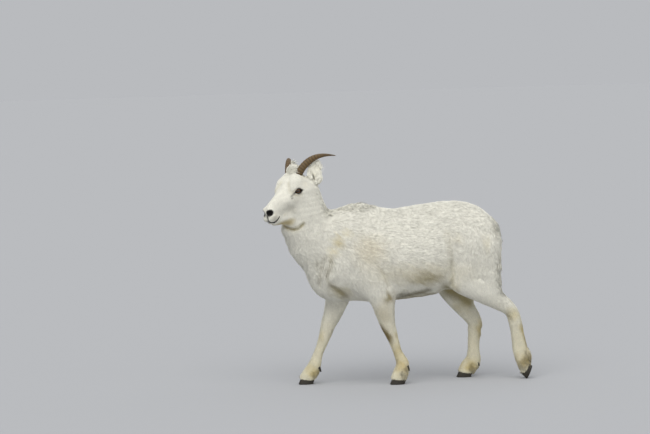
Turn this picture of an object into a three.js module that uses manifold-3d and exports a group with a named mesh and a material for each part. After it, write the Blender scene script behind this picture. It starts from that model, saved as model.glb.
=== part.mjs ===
// A dall sheep ewe in its winter coat, walking, at life size.
// Millimetres, +Z up. The ewe faces -X and its left side is toward -Y, so left means y below zero.
// The group is shifted at the end, so that its origin is at the middle of its box, on the floor.
import * as THREE from "three";
import { mergeVertices } from "three/addons/utils/BufferGeometryUtils.js";
import Module from "manifold-3d";

const wasm = await Module();
wasm.setup();

// The gap that touching pieces keep.
const GAP = 0.3;

// Size of the surface facets of each sort of piece.
const FACET = { torso: 36, neck: 27, upperLeg: 25, lowerLeg: 16, head: 10.6, tail: 11 };

// Each station of the trunk, spine and neck: along the body, height, radius in the walking plane,
// radius across, and sideways place where it isn't on the middle line.
const TRUNK = [
  [-250, 588, 190, 108],
  [-140, 572, 198, 130],
  [-20, 574, 192, 146],
  [110, 588, 190, 146],
  [220, 622, 172, 132],
  [315, 648, 142, 114],
];
const SPINE = [
  [-322, 716, 72, 60],
  [-258, 738, 76, 58],
  [-185, 748, 77, 60],
  [-60, 722, 76, 78],
  [45, 727, 80, 88],
  [170, 741, 80, 90],
  [270, 742, 78, 88],
  [334, 708, 78, 82],
  [368, 668, 70, 70],
];
const NECK = [
  [-318, 610, 150, 96, 0],
  [-400, 682, 138, 90, -2],
  [-434, 760, 106, 82, -8],
  [-444, 835, 88, 70, -18],
  [-452, 892, 76, 60, -28],
];

// Muscles: centre (along, out from the middle line, height), radii (in the same order),
// and tilt in degrees that swings the top forward. Each is made on both sides.
const MUSCLES = [
  { at: [-232, 66, 600], radii: [92, 56, 170], tilt: 20, blend: 50 },
  { at: [-315, 62, 548], radii: [62, 44, 70], tilt: 0, blend: 50 },
  { at: [338, 62, 652], radii: [92, 56, 108], tilt: -10, blend: 50 },
  { at: [318, 70, 482], radii: [84, 48, 72], tilt: 0, blend: 40 },
];
const BRISKET = { at: [-318, 0, 492], radii: [112, 84, 104], tilt: 0, blend: 60 };
const UDDER = { at: [252, 0, 448], radii: [52, 58, 34], tilt: 0, blend: 30 };
// The throat hangs under the jaw, on the middle line of the turned neck.
const THROAT = { at: [-490, -18, 726], radii: [62, 50, 44], tilt: 0, blend: 40 };

// Legs. Stations: along, height, radius in the walking plane, radius across.
// foot: middle of the sole along the body, and how far the toe points down, in degrees.
// fetlock: its place along the body and its height.
// root: the plane that parts the leg from the torso, by its height at the inside of the leg,
// its rise to the outside, and its reach along the body. joint: the place and lean of the cut
// at the knee or hock.
const LEG_SPREAD = 74;
const THIGH_SPREAD = 10;
const LEGS = {
  front_left: {
    side: -1,
    chains: [
      [
        [-225, 600, 86, 40],
        [-152, 480, 74, 44],
        [-112, 402, 60, 42],
        [-100, 340, 47, 37],
        [-87, 280, 36, 30],
        [-71, 232, 29, 27],
        [-57, 190, 23, 21],
        [-42, 142, 21, 19],
        [-22, 92, 30, 25],
        [-34, 54, 32, 26],
        [-47, 24, 33, 27],
      ],
    ],
    foot: { along: -49, toeDown: 0 },
    fetlock: [-22, 78],
    root: { height: 386, rise: 62, from: -236, to: -14 },
    joint: { along: -66, height: 212, lean: 16 },
  },
  front_right: {
    side: 1,
    chains: [
      [
        [-240, 600, 86, 40],
        [-268, 490, 74, 44],
        [-286, 408, 60, 42],
        [-309, 335, 46, 37],
        [-338, 270, 35, 30],
        [-351, 232, 30, 27],
        [-368, 186, 24, 21],
        [-388, 140, 22, 19],
        [-406, 88, 29, 25],
        [-427, 52, 34, 26],
        [-446, 24, 34, 27],
      ],
    ],
    foot: { along: -450, toeDown: 0 },
    fetlock: [-408, 72],
    root: { height: 386, rise: 62, from: -398, to: -186 },
    joint: { along: -357, height: 212, lean: -20 },
  },
  hind_left: {
    side: -1,
    chains: [
      [
        [335, 640, 112, 54],
        [265, 500, 72, 48],
        [262, 462, 60, 46],
        [345, 412, 52, 42],
        [425, 364, 42, 33],
        [484, 318, 32, 27],
        [507, 255, 31, 23],
        [517, 190, 31, 21],
        [524, 140, 35, 23],
        [534, 100, 35, 25],
        [541, 66, 28, 25],
        [548, 40, 25, 25],
      ],
      [
        [386, 620, 56, 54],
        [386, 500, 54, 48],
        [396, 428, 42, 38],
      ],
    ],
    foot: { along: 552, toeDown: 66 },
    fetlock: [540, 92],
    root: { height: 430, rise: 100, from: 150, to: 640 },
    joint: { along: 499, height: 284, lean: 18 },
  },
  hind_right: {
    side: 1,
    chains: [
      [
        [330, 640, 112, 54],
        [236, 500, 72, 48],
        [222, 452, 64, 46],
        [262, 380, 56, 42],
        [310, 312, 44, 34],
        [343, 262, 35, 28],
        [344, 222, 31, 24],
        [339, 165, 28, 21],
        [337, 115, 29, 22],
        [335, 78, 36, 25],
        [312, 50, 36, 26],
        [294, 24, 34, 27],
      ],
      [
        [382, 610, 56, 54],
        [350, 490, 60, 48],
        [308, 392, 48, 40],
      ],
    ],
    foot: { along: 288, toeDown: 0 },
    fetlock: [332, 66],
    root: { height: 418, rise: 100, from: 118, to: 470 },
    joint: { along: 344, height: 232, lean: 4 },
  },
};

// Hoof of two claws: length and width of one claw, the slit between the two,
// and the height of the hair line at the toe and at the heel.
const HOOF = { length: 66, width: 22.5, slit: 4, toeHeight: 31, heelHeight: 19 };
// Dewclaw: length, radius at its root, how far each stands from the leg's middle line, how far
// its middle lies behind the fetlock's and below it, and how it droops, in degrees.
const DEWCLAW = { length: 25, radius: 8.5, apart: 13, back: 23, below: 6, droop: 62 };

// Short tail that hangs along the rump: along, height, radius in the walking plane, radius across.
const TAIL = [
  [408, 722, 18, 22],
  [434, 694, 17, 20],
  [450, 662, 13, 16],
  [456, 638, 7, 9],
];

// The head has a frame of its own: x forward along the face, y to its left, z up.
// Its origin is between the eyes, at their height.
const HEAD = { at: [-516.5, -40, 888], turn: 39, nod: 24, tilt: -2.5 };

// Stations of the head: forward, up, radius up and down, radius across.
const SKULL = [
  [-66, 8, 50, 50],
  [-30, 10, 52, 54],
  [12, -2, 48, 48],
  [50, -14, 50, 39],
  [90, -18, 46, 33],
  [125, -20, 39, 30],
  [149, -22, 33, 27],
];
const JAW = [
  [-36, -90, 44, 44],
  [10, -96, 42, 40],
  [56, -89, 35, 32],
  [102, -77, 26, 26],
  [145, -67, 20, 22],
];
// Forms of the head: centre (forward, left, up) and radii, made on both sides unless left is 0.
const HEAD_FORMS = [
  { at: [-16, 32, -50], radii: [58, 26, 62], blend: 30 },
  { at: [-28, 38, 40], radii: [42, 28, 26], blend: 18 },
  { at: [2, 42, 19], radii: [33, 25, 22], blend: 18 },
  { at: [24, 34, -14], radii: [46, 24, 30], blend: 22 },
  { at: [157, 14, -41], radii: [27, 18, 21], blend: 12 },
  { at: [159, 13, -9], radii: [18, 13, 16], blend: 12 },
  { at: [-74, 0, 66], radii: [34, 38, 40], blend: 22 },
  { at: [-88, 52, 8], radii: [26, 22, 28], blend: 18 },
  { at: [-58, 29, 44], radii: [20, 18, 20], blend: 12 },
  { at: [-40, 24, 54], radii: [22, 20, 20], blend: 14 },
];

// Eye: centre, radius of the ball, thickness of the lids, length and height of their opening,
// the way it looks, and how far its front corner is raised, in degrees.
const EYE = {
  at: [-10, 45, 6],
  radius: 21,
  lid: 3,
  length: 42,
  height: 22,
  outward: [0.5, 0.84, 0.14],
  rise: 14,
};
const NOSTRIL = { at: [170, 18, -13], radii: [15, 8.5, 12], turn: -38 };
// The mouth runs from one corner round the front of the lips to the other.
const MOUTH = {
  line: [
    [128, 28, -54],
    [144, 24, -56],
    [160, 17, -59],
    [174, 0, -51],
  ],
  groove: 2.3,
  lip: 4.6,
  lipShift: 5,
  steps: 20,
};
// Horn: base, bend and tip of its middle line, radii at base and tip, and its rings of growth.
const HORN = {
  base: [-58, 30, 54],
  bend: [-145, 70, 132],
  tip: [-214, 149, 63],
  // How far the pair leans to the right, in degrees.
  lean: 6.5,
  radius: 15.5,
  tipRadius: 2.6,
  rings: 9,
  ringedPart: 0.72,
  ringDepth: 1.3,
};
// Ear: root, tip, widest width, thickness, and the way its cup looks.
const EAR = {
  root: [-99, 62, -10],
  tip: [-152, 76, 79],
  width: 52,
  thickness: 5,
  looks: [0.75, 0.65, 0.1],
};

// Planes that part the head from the neck, under the jaw, and the neck from the torso.
const HEAD_CUT = { at: [-455, -20, 762], normal: [-0.52, -0.24, 0.82] };
const NECK_CUT = { at: [-292, 0, 815], normal: [-0.865, 0, 0.5] };

const COLOURS = {
  fleece: "#d2cfc4",
  face: "#dbd9cf",
  leg: "#c6c2b0",
  horn: "#65563c",
  eye: "#3b2c1c",
  hoof: "#463f33",
};

const radians = THREE.MathUtils.degToRad;
const clamp = THREE.MathUtils.clamp;
const vector = (list) => new THREE.Vector3(...list);

// Distances to forms

// About how far a place lies outside an ellipsoid, from its offsets and radii.
function ellipsoidDistance(u, v, w, ru, rv, rw) {
  const scaled = Math.hypot(u / ru, v / rv, w / rw);
  const slope = Math.hypot(u / (ru * ru), v / (rv * rv), w / (rw * rw));
  return slope > 1e-9 ? (scaled * (scaled - 1)) / slope : -Math.min(ru, rv, rw);
}

// The lower of two distances, rounded where they are nearly alike.
function smoothUnion(a, b, blend) {
  const near = Math.max(blend - Math.abs(a - b), 0) / blend;
  return Math.min(a, b) - near * near * blend * 0.25;
}

// A smooth line through the stations, with steps between each pair, by Catmull and Rom's formula.
function resample(stations, steps = 3) {
  const fine = [];
  const last = stations.length - 1;
  for (let i = 0; i < last; i++) {
    const [a, b, c, d] = [-1, 0, 1, 2].map((k) => stations[clamp(i + k, 0, last)]);
    for (let s = 0; s < steps; s++) {
      const t = s / steps;
      fine.push(
        b.map(
          (_, n) =>
            0.5 *
            (2 * b[n] +
              (c[n] - a[n]) * t +
              (2 * a[n] - 5 * b[n] + 4 * c[n] - d[n]) * t * t +
              (3 * b[n] - a[n] - 3 * c[n] + d[n]) * t * t * t),
        ),
      );
    }
  }
  fine.push(stations[last]);
  return fine;
}

// A row of elliptic cones. A station is along, sideways, height, radius in the plane of x and z,
// and radius across it.
function chainForm(stations, blend) {
  const fine = resample(stations);
  const links = fine.slice(1).map((b, i) => {
    const a = fine[i];
    const axis = new THREE.Vector3(b[0] - a[0], b[1] - a[1], b[2] - a[2]);
    const length = axis.length();
    axis.divideScalar(length);
    const across = new THREE.Vector3(0, 1, 0).addScaledVector(axis, -axis.y).normalize();
    const inPlane = new THREE.Vector3().crossVectors(axis, across);
    return { a, b, axis, across, inPlane, length };
  });
  const distance = (x, y, z) => {
    let lowest = Infinity;
    for (const { a, b, axis, across, inPlane, length } of links) {
      const [px, py, pz] = [x - a[0], y - a[1], z - a[2]];
      const along = px * axis.x + py * axis.y + pz * axis.z;
      const t = clamp(along / length, 0, 1);
      const past = along - t * length;
      const u = px * inPlane.x + py * inPlane.y + pz * inPlane.z;
      const v = px * across.x + py * across.y + pz * across.z;
      const ru = a[3] + (b[3] - a[3]) * t;
      const rv = a[4] + (b[4] - a[4]) * t;
      lowest = Math.min(lowest, ellipsoidDistance(u, v, past, ru, rv, Math.min(ru, rv)));
    }
    return lowest;
  };
  const middle = [0, 1, 2].map((n) => fine.reduce((sum, p) => sum + p[n], 0) / fine.length);
  const ends = fine.map((p) => Math.hypot(...middle.map((m, n) => m - p[n])) + Math.max(p[3], p[4]));
  return { distance, blend, middle, reach: Math.max(...ends) };
}

// An ellipsoid, turned by tilt about the sideways axis.
function ballForm({ at, radii, tilt = 0, blend }) {
  const [c, s] = [Math.cos(radians(tilt)), Math.sin(radians(tilt))];
  const distance = (x, y, z) => {
    const [px, py, pz] = [x - at[0], y - at[1], z - at[2]];
    return ellipsoidDistance(c * px + s * pz, py, c * pz - s * px, ...radii);
  };
  return { distance, blend, middle: at, reach: Math.max(...radii) };
}

const mirrored = (form) => ({ ...form, at: [form.at[0], -form.at[1], form.at[2]] });
const bothSides = (forms) => forms.flatMap((form) => (form.at[1] ? [form, mirrored(form)] : [form]));

// How far a leg's middle line stands out from the body's at a height: most at the elbow and stifle.
function legSpread(height) {
  return LEG_SPREAD + THIGH_SPREAD * Math.exp(-(((height - 430) / 130) ** 2));
}

function legForms({ side, chains }) {
  return chains.map((stations) => {
    const placed = stations.map(([x, z, r, across]) => [x, side * legSpread(z), z, r, across]);
    return chainForm(placed, 34);
  });
}

const level = ([x, z, r, across, y = 0]) => [x, y, z, r, across];

const bodyForms = [
  chainForm(TRUNK.map(level), 40),
  chainForm(SPINE.map(level), 50),
  chainForm(NECK.map(level), 40),
  ...bothSides([...MUSCLES, BRISKET, UDDER]).map(ballForm),
  ballForm(THROAT),
  ...Object.values(LEGS).flatMap(legForms),
];
const headForms = [
  chainForm(SKULL.map(level), 20),
  chainForm(JAW.map(level), 22),
  ...bothSides(HEAD_FORMS).map(ballForm),
];

// Forms whose surrounding ball is further than this from a place leave it alone.
const FAR = 110;
const union = (forms) => (x, y, z) => {
  let lowest = 1e3;
  for (const { distance, blend, middle, reach } of forms) {
    const away = Math.hypot(x - middle[0], y - middle[1], z - middle[2]) - reach;
    if (away > FAR) lowest = Math.min(lowest, away);
    else lowest = smoothUnion(lowest, distance(x, y, z), blend);
  }
  return lowest;
};
const bodyDistance = union(bodyForms);
const headDistance = union(headForms);

// The head's frame in the world.
function headMatrix() {
  const [turn, nod, tilt] = [HEAD.turn, HEAD.nod, HEAD.tilt].map(radians);
  const level = new THREE.Vector3(-Math.cos(turn), -Math.sin(turn), 0);
  const up = new THREE.Vector3(0, 0, 1);
  const forward = level.clone().multiplyScalar(Math.cos(nod)).addScaledVector(up, -Math.sin(nod));
  const left = new THREE.Vector3(Math.sin(turn), -Math.cos(turn), 0);
  const top = new THREE.Vector3().crossVectors(forward, left);
  const tilted = top.clone().multiplyScalar(Math.cos(tilt)).addScaledVector(left, Math.sin(tilt));
  const side = new THREE.Vector3().crossVectors(tilted, forward);
  return new THREE.Matrix4().makeBasis(forward, side, tilted).setPosition(...HEAD.at);
}
const HEAD_TO_WORLD = headMatrix();
const WORLD_TO_HEAD = HEAD_TO_WORLD.clone().invert();

// The whole ewe's outline: the head flows into the neck, and counts only within its reach.
const NECK_BLEND = 26;
const HEAD_REACH = 420;
const probe = new THREE.Vector3();
function eweDistance(x, y, z) {
  const body = bodyDistance(x, y, z);
  probe.set(x, y, z).applyMatrix4(WORLD_TO_HEAD);
  if (probe.length() > HEAD_REACH) return body;
  return smoothUnion(body, headDistance(probe.x, probe.y, probe.z), NECK_BLEND);
}

// The same, for a place in the head's frame.
const inHead = new THREE.Vector3();
function eweDistanceInHead(x, y, z) {
  inHead.set(x, y, z).applyMatrix4(HEAD_TO_WORLD);
  return smoothUnion(
    bodyDistance(inHead.x, inHead.y, inHead.z),
    headDistance(x, y, z),
    NECK_BLEND,
  );
}

// From a distance to a closed surface

function gradient(distance, p, out) {
  const h = 0.4;
  return out.set(
    distance(p.x + h, p.y, p.z) - distance(p.x - h, p.y, p.z),
    distance(p.x, p.y + h, p.z) - distance(p.x, p.y - h, p.z),
    distance(p.x, p.y, p.z + h) - distance(p.x, p.y, p.z - h),
  ).divideScalar(2 * h);
}

// Moves a place onto the surface, by no more than reach.
function settle(distance, p, reach) {
  const start = p.clone();
  const slope = new THREE.Vector3();
  for (let round = 0; round < 4; round++) {
    gradient(distance, p, slope);
    p.addScaledVector(slope, -distance(p.x, p.y, p.z) / Math.max(slope.lengthSq(), 0.04));
  }
  const moved = p.clone().sub(start);
  if (moved.length() > reach) p.copy(start).addScaledVector(moved.normalize(), reach);
  return p;
}

// A net over the surface where the distance is zero, inside a box, with one corner for each
// grid cell that the surface crosses. The box's own walls close it.
function net(distance, low, high, cell) {
  const counts = [0, 1, 2].map((n) => Math.ceil((high[n] - low[n]) / cell) + 3);
  const [nx, ny, nz] = counts;
  const place = (i, n) => low[n] + (i - 1) * cell;
  const index = (i, j, k) => (i * ny + j) * nz + k;
  const values = new Float32Array(nx * ny * nz);
  for (let i = 0; i < nx; i++)
    for (let j = 0; j < ny; j++)
      for (let k = 0; k < nz; k++) {
        const edge = i === 0 || j === 0 || k === 0 || i === nx - 1 || j === ny - 1 || k === nz - 1;
        const value = edge ? cell : distance(place(i, 0), place(j, 1), place(k, 2));
        values[index(i, j, k)] = value === 0 ? 1e-6 : value;
      }
  const corners = [];
  const cornerOf = new Map();
  for (let i = 0; i < nx - 1; i++)
    for (let j = 0; j < ny - 1; j++)
      for (let k = 0; k < nz - 1; k++) {
        const sum = new THREE.Vector3();
        let crossings = 0;
        for (let axis = 0; axis < 3; axis++)
          for (let pair = 0; pair < 4; pair++) {
            const a = [i, j, k];
            a[(axis + 1) % 3] += pair & 1;
            a[(axis + 2) % 3] += pair >> 1;
            const b = a.slice();
            b[axis] += 1;
            const [va, vb] = [values[index(...a)], values[index(...b)]];
            if (va < 0 === vb < 0) continue;
            const t = va / (va - vb);
            a[axis] += t;
            sum.add(new THREE.Vector3(place(a[0], 0), place(a[1], 1), place(a[2], 2)));
            crossings++;
          }
        if (!crossings) continue;
        cornerOf.set(index(i, j, k), corners.length);
        corners.push(settle(distance, sum.divideScalar(crossings), cell * 0.5));
      }
  const triangles = [];
  const quad = (a, b, c, d) => {
    if (corners[a].distanceTo(corners[c]) <= corners[b].distanceTo(corners[d]))
      triangles.push(a, b, c, a, c, d);
    else triangles.push(b, c, d, b, d, a);
  };
  for (let i = 0; i < nx - 1; i++)
    for (let j = 0; j < ny - 1; j++)
      for (let k = 0; k < nz - 1; k++)
        for (let axis = 0; axis < 3; axis++) {
          const next = [i, j, k];
          next[axis] += 1;
          const here = values[index(i, j, k)] < 0;
          if (here === values[index(...next)] < 0) continue;
          const ring = [[0, 0], [1, 0], [1, 1], [0, 1]].map(([u, v]) => {
            const cellAt = [i, j, k];
            cellAt[(axis + 1) % 3] -= u;
            cellAt[(axis + 2) % 3] -= v;
            return cornerOf.get(index(...cellAt));
          });
          if (here) quad(...ring);
          else quad(...ring.reverse());
        }
  return { corners, triangles };
}

// Solids

// A solid from a closed geometry, turned inside out where its faces point in.
function solidOf(geometry) {
  const bare = geometry.clone();
  bare.deleteAttribute("normal");
  bare.deleteAttribute("uv");
  const merged = mergeVertices(bare, 1e-4);
  const vertProperties = new Float32Array(merged.attributes.position.array);
  const triVerts = new Uint32Array(merged.index.array);
  const solid = new wasm.Manifold(new wasm.Mesh({ numProp: 3, vertProperties, triVerts }));
  if (solid.volume() > 0) return solid;
  for (let i = 0; i < triVerts.length; i += 3) {
    [triVerts[i], triVerts[i + 1]] = [triVerts[i + 1], triVerts[i]];
  }
  return new wasm.Manifold(new wasm.Mesh({ numProp: 3, vertProperties, triVerts }));
}

function geometryOf(corners, triangles) {
  const geometry = new THREE.BufferGeometry();
  const places = corners.flatMap((p) => [p.x, p.y, p.z]);
  geometry.setAttribute("position", new THREE.Float32BufferAttribute(places, 3));
  geometry.setIndex(triangles);
  return geometry;
}

const solidOfNet = ({ corners, triangles }) => solidOf(geometryOf(corners, triangles));

// Whether every edge of a net has just two faces.
function isClosed({ corners, triangles }) {
  const uses = new Map();
  for (let i = 0; i < triangles.length; i += 3)
    for (let s = 0; s < 3; s++) {
      const [a, b] = [triangles[i + s], triangles[i + ((s + 1) % 3)]];
      const edge = Math.min(a, b) * corners.length + Math.max(a, b);
      uses.set(edge, (uses.get(edge) ?? 0) + 1);
    }
  return [...uses.values()].every((count) => count === 2);
}

// A net whose grid is moved a little where two sheets of the surface would share an edge.
const GRID_MOVES = 12;
function closedNet(distance, low, high, cell) {
  for (let move = 0; move < GRID_MOVES; move++) {
    const start = low.map((value, n) => value - cell * ((move * (0.31 + 0.17 * n)) % 1));
    const made = net(distance, start, high, cell);
    if (isClosed(made)) return made;
  }
  throw new Error("no grid gives this surface a closed net");
}

// The net with every corner moved out by some distance, so that its faces stay alike.
function swollenNet(distance, { corners, triangles }, by) {
  const slope = new THREE.Vector3();
  const moved = corners.map((p) => p.clone().addScaledVector(gradient(distance, p, slope).normalize(), by));
  return { corners: moved, triangles };
}

function largest(solid) {
  return solid.decompose().reduce((a, b) => (b.volume() > a.volume() ? b : a));
}

// A big box whose top face lies in a plane and whose body is on the side away from the normal.
function halfSpace(at, normal, lift = 0) {
  const reach = 1500;
  const box = new THREE.BoxGeometry(2 * reach, 2 * reach, reach);
  box.translate(0, 0, lift - reach / 2);
  const upright = new THREE.Vector3(0, 0, 1);
  const turn = new THREE.Quaternion().setFromUnitVectors(upright, normal.clone().normalize());
  box.applyQuaternion(turn);
  box.translate(at.x, at.y, at.z);
  return solidOf(box);
}

// A closed surface over rings of equally many points, with a flat face at each end.
function loft(rings) {
  const sides = rings[0].length;
  const triangles = [];
  for (let r = 0; r + 1 < rings.length; r++)
    for (let s = 0; s < sides; s++) {
      const [a, b] = [r * sides + s, r * sides + ((s + 1) % sides)];
      triangles.push(a, b, b + sides, a, b + sides, a + sides);
    }
  const corners = rings.flat();
  for (const [ring, outward] of [[0, false], [rings.length - 1, true]]) {
    const middle = rings[ring].reduce((sum, p) => sum.add(p), new THREE.Vector3()).divideScalar(sides);
    corners.push(middle);
    for (let s = 0; s < sides; s++) {
      const [a, b] = [ring * sides + s, ring * sides + ((s + 1) % sides)];
      if (outward) triangles.push(a, b, corners.length - 1);
      else triangles.push(b, a, corners.length - 1);
    }
  }
  return geometryOf(corners, triangles);
}

// The model

const ewe = new THREE.Group();

// Cuts leave some needle-thin faces: corners nearer than this are drawn together.
const SLIVER = 0.03;

function addNode(name, solid, colour, roughness) {
  const { numProp, vertProperties, triVerts } = largest(solid).simplify(SLIVER).getMesh();
  if (numProp !== 3) throw new Error("a solid holds only positions");
  const geometry = new THREE.BufferGeometry();
  geometry.setAttribute("position", new THREE.BufferAttribute(vertProperties, 3));
  geometry.setIndex(new THREE.BufferAttribute(triVerts, 1));
  geometry.computeVertexNormals();
  const material = new THREE.MeshStandardMaterial({ color: colour, roughness, metalness: 0 });
  const mesh = new THREE.Mesh(geometry, material);
  mesh.name = name;
  ewe.add(mesh);
}

// Torso, neck and legs

const headCutAt = vector(HEAD_CUT.at);
const headCutNormal = vector(HEAD_CUT.normal);
const neckCutAt = vector(NECK_CUT.at);
const neckCutNormal = vector(NECK_CUT.normal);

// The room that a leg takes out of the body: below a slanted plane, and between two
// upright ones. Grown by half a gap it is taken from the torso, shrunk by as much it holds the leg.
function legRoom({ side, root }, grow) {
  const inside = 22;
  const outside = 240;
  const rise = (root.rise / 100) * (outside - inside);
  const shape = new THREE.Shape();
  shape.moveTo(inside - grow, -100);
  shape.lineTo(outside, -100);
  shape.lineTo(outside, root.height + rise + grow * 1.4);
  shape.lineTo(inside - grow, root.height + grow * 1.4);
  shape.closePath();
  const width = root.to - root.from + 2 * grow;
  const room = new THREE.ExtrudeGeometry(shape, { depth: width, bevelEnabled: false });
  // The shape's x becomes the way out, its y the height, and its depth runs along the body.
  const turned = new THREE.Matrix4();
  turned.set(0, 0, 1, root.from - grow, side, 0, 0, 0, 0, 1, 0, 0, 0, 0, 0, 1);
  return solidOf(room.applyMatrix4(turned));
}

const torsoNet = closedNet(eweDistance, [-500, -190, 330], [520, 190, 870], FACET.torso);
const neckNet = closedNet(eweDistance, [-610, -190, 440], [-250, 190, 1010], FACET.neck);
let torso = solidOfNet(torsoNet).intersect(halfSpace(neckCutAt, neckCutNormal, -GAP / 2));
for (const leg of Object.values(LEGS)) torso = torso.subtract(legRoom(leg, GAP / 2));
addNode("torso", torso, COLOURS.fleece, 0.95);

const neck = solidOfNet(neckNet)
  .subtract(halfSpace(neckCutAt, neckCutNormal, GAP / 2))
  .intersect(halfSpace(headCutAt, headCutNormal, -GAP / 2));
addNode("neck", neck, COLOURS.fleece, 0.95);

// A leg's own frame at the foot: the middle of the sole, with the toe at -X, turned toe down.
// A toe that points down is let into the floor by a little, which leaves it a small flat.
const TOE_FLAT = 2.5;
function footMatrix({ side, foot }) {
  const turn = new THREE.Matrix4().makeRotationY(radians(-foot.toeDown));
  if (!foot.toeDown) return turn.setPosition(foot.along, side * legSpread(0), 0);
  const tip = new THREE.Vector3(-HOOF.length / 2, 0, 0).applyMatrix4(turn);
  return turn.setPosition(foot.along - tip.x, side * legSpread(0), -tip.z - TOE_FLAT);
}

// The plane of the hair line, in the foot's frame.
function hairLine() {
  const run = HOOF.length - 14;
  const normal = new THREE.Vector3(HOOF.toeHeight - HOOF.heelHeight, 0, run).normalize();
  return { at: new THREE.Vector3(-run / 2, 0, HOOF.toeHeight), normal };
}

// One claw: a drop-shaped sole, pointed at the toe, that draws in toward the hair line.
function clawGeometry(hand) {
  const { length, width, slit } = HOOF;
  const sides = 12;
  const levels = [0, 0.35, 1];
  const rings = levels.map((t) => {
    const shrink = 1 - 0.12 * t;
    const ring = [];
    for (let s = 0; s < sides; s++) {
      const turn = (s / sides) * 2 * Math.PI;
      const forward = Math.cos(turn);
      const out = Math.sin(turn);
      const taper = forward > 0 ? 1 - 0.34 * forward ** 2 : 1 - 0.1 * forward ** 2;
      const x = -forward * (length / 2) * shrink + 9 * t;
      const bulge = out > 0 ? width * 0.62 : width * 0.38;
      const y = hand * (slit / 2 + width * 0.38 + out * bulge * taper * shrink);
      ring.push(new THREE.Vector3(x, y, t * (HOOF.toeHeight + 10)));
    }
    return ring;
  });
  return loft(rings);
}

// One dewclaw: a blunt cone that points back and down from behind the fetlock.
function dewclaw({ side: hand, fetlock: [along, height] }, apart) {
  const { length, radius, back, below, droop } = DEWCLAW;
  const cone = new THREE.CylinderGeometry(radius * 0.45, radius, length, 8);
  cone.scale(1, 1, 0.75).rotateX(radians(-90)).rotateY(radians(droop - 90));
  const y = hand * (legSpread(height) + apart);
  cone.translate(along + back, y, height - below);
  return solidOf(cone);
}

const hair = hairLine();
const floor = halfSpace(new THREE.Vector3(), new THREE.Vector3(0, 0, 1));

for (const [name, leg] of Object.entries(LEGS)) {
  const along = leg.chains.flat().map((station) => station[0]);
  const [lowX, highX] = [Math.min(...along) - 110, Math.max(...along) + 110];
  const [lowY, highY] = leg.side < 0 ? [-200, 10] : [-10, 200];
  const upperNet = closedNet(eweDistance, [lowX, lowY, 140], [highX, highY, 640], FACET.upperLeg);
  const lowerNet = closedNet(eweDistance, [lowX, lowY, -60], [highX, highY, 340], FACET.lowerLeg);
  const lean = radians(leg.joint.lean);
  const jointNormal = new THREE.Vector3(-Math.sin(lean), 0, Math.cos(lean));
  const jointAt = new THREE.Vector3(leg.joint.along, 0, leg.joint.height);
  const foot = footMatrix(leg);
  const hairAt = hair.at.clone().applyMatrix4(foot);
  const hairNormal = hair.normal.clone().transformDirection(foot);
  const room = legRoom(leg, -GAP / 2);
  const swollenLeg = solidOfNet(swollenNet(eweDistance, lowerNet, GAP));
  const upper = solidOfNet(upperNet).intersect(room).subtract(halfSpace(jointAt, jointNormal, GAP / 2));
  const lower = solidOfNet(lowerNet)
    .intersect(halfSpace(jointAt, jointNormal, -GAP / 2))
    .subtract(halfSpace(hairAt, hairNormal, GAP / 2));
  addNode(`leg_${name}_upper`, upper, COLOURS.fleece, 0.95);
  addNode(`leg_${name}_lower`, lower, COLOURS.leg, 0.95);

  for (const [hand, which] of [[-1, "inner"], [1, "outer"]]) {
    const claw = solidOf(clawGeometry(hand * leg.side).applyMatrix4(foot))
      .intersect(halfSpace(hairAt, hairNormal, -GAP / 2))
      .subtract(floor);
    addNode(`claw_${name}_${which}`, claw, COLOURS.hoof, 0.6);
    const spur = dewclaw(leg, hand * DEWCLAW.apart).subtract(swollenLeg);
    addNode(`dewclaw_${name}_${which}`, spur, COLOURS.hoof, 0.6);
  }
}

// Tail

const tailForm = chainForm(TAIL.map(level), 10);
const tailNet = closedNet(tailForm.distance, [385, -40, 600], [490, 40, 760], FACET.tail);
const tail = solidOfNet(tailNet).subtract(solidOfNet(swollenNet(eweDistance, torsoNet, GAP)));
addNode("tail", tail, COLOURS.fleece, 0.95);

// Head

const headNet = closedNet(eweDistanceInHead, [-230, -130, -250], [200, 130, 110], FACET.head);
const headCut = halfSpace(
  headCutAt.clone().applyMatrix4(WORLD_TO_HEAD),
  headCutNormal.clone().transformDirection(WORLD_TO_HEAD),
  GAP / 2,
);
const swollenHead = solidOfNet(swollenNet(eweDistanceInHead, headNet, GAP));
let head = solidOfNet(headNet).subtract(headCut);

const side = (list, hand) => new THREE.Vector3(list[0], list[1] * hand, list[2]);

// An almond lies in the plane across the way the eye looks, with its corners along the face.
function almondGeometry(centre, outward, length, height, depth) {
  const shape = new THREE.Shape();
  shape.moveTo(-length / 2, 0);
  shape.quadraticCurveTo(0, height, length / 2, 0);
  shape.quadraticCurveTo(0, -height, -length / 2, 0);
  const geometry = new THREE.ExtrudeGeometry(shape, { depth, bevelEnabled: false, curveSegments: 5 });
  const rise = radians(EYE.rise);
  const along = new THREE.Vector3(Math.cos(rise), 0, Math.sin(rise));
  along.addScaledVector(outward, -outward.dot(along)).normalize();
  const up = new THREE.Vector3().crossVectors(outward, along);
  geometry.applyMatrix4(new THREE.Matrix4().makeBasis(along, up, outward).setPosition(centre));
  return geometry;
}

function sphereAt(centre, radius, across = 12, rows = 8) {
  return new THREE.SphereGeometry(radius, across, rows).translate(centre.x, centre.y, centre.z);
}

const eyes = [];
for (const hand of [1, -1]) {
  const centre = side(EYE.at, hand);
  const outward = side(EYE.outward, hand).normalize();
  const lids = solidOf(sphereAt(centre, EYE.radius + EYE.lid));
  const opening = solidOf(almondGeometry(centre, outward, EYE.length, EYE.height, 3 * EYE.radius));
  const socket = solidOf(sphereAt(centre, EYE.radius + GAP));
  head = head.add(lids).subtract(opening).subtract(socket);
  eyes.push(solidOf(sphereAt(centre, EYE.radius)));
}

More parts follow.
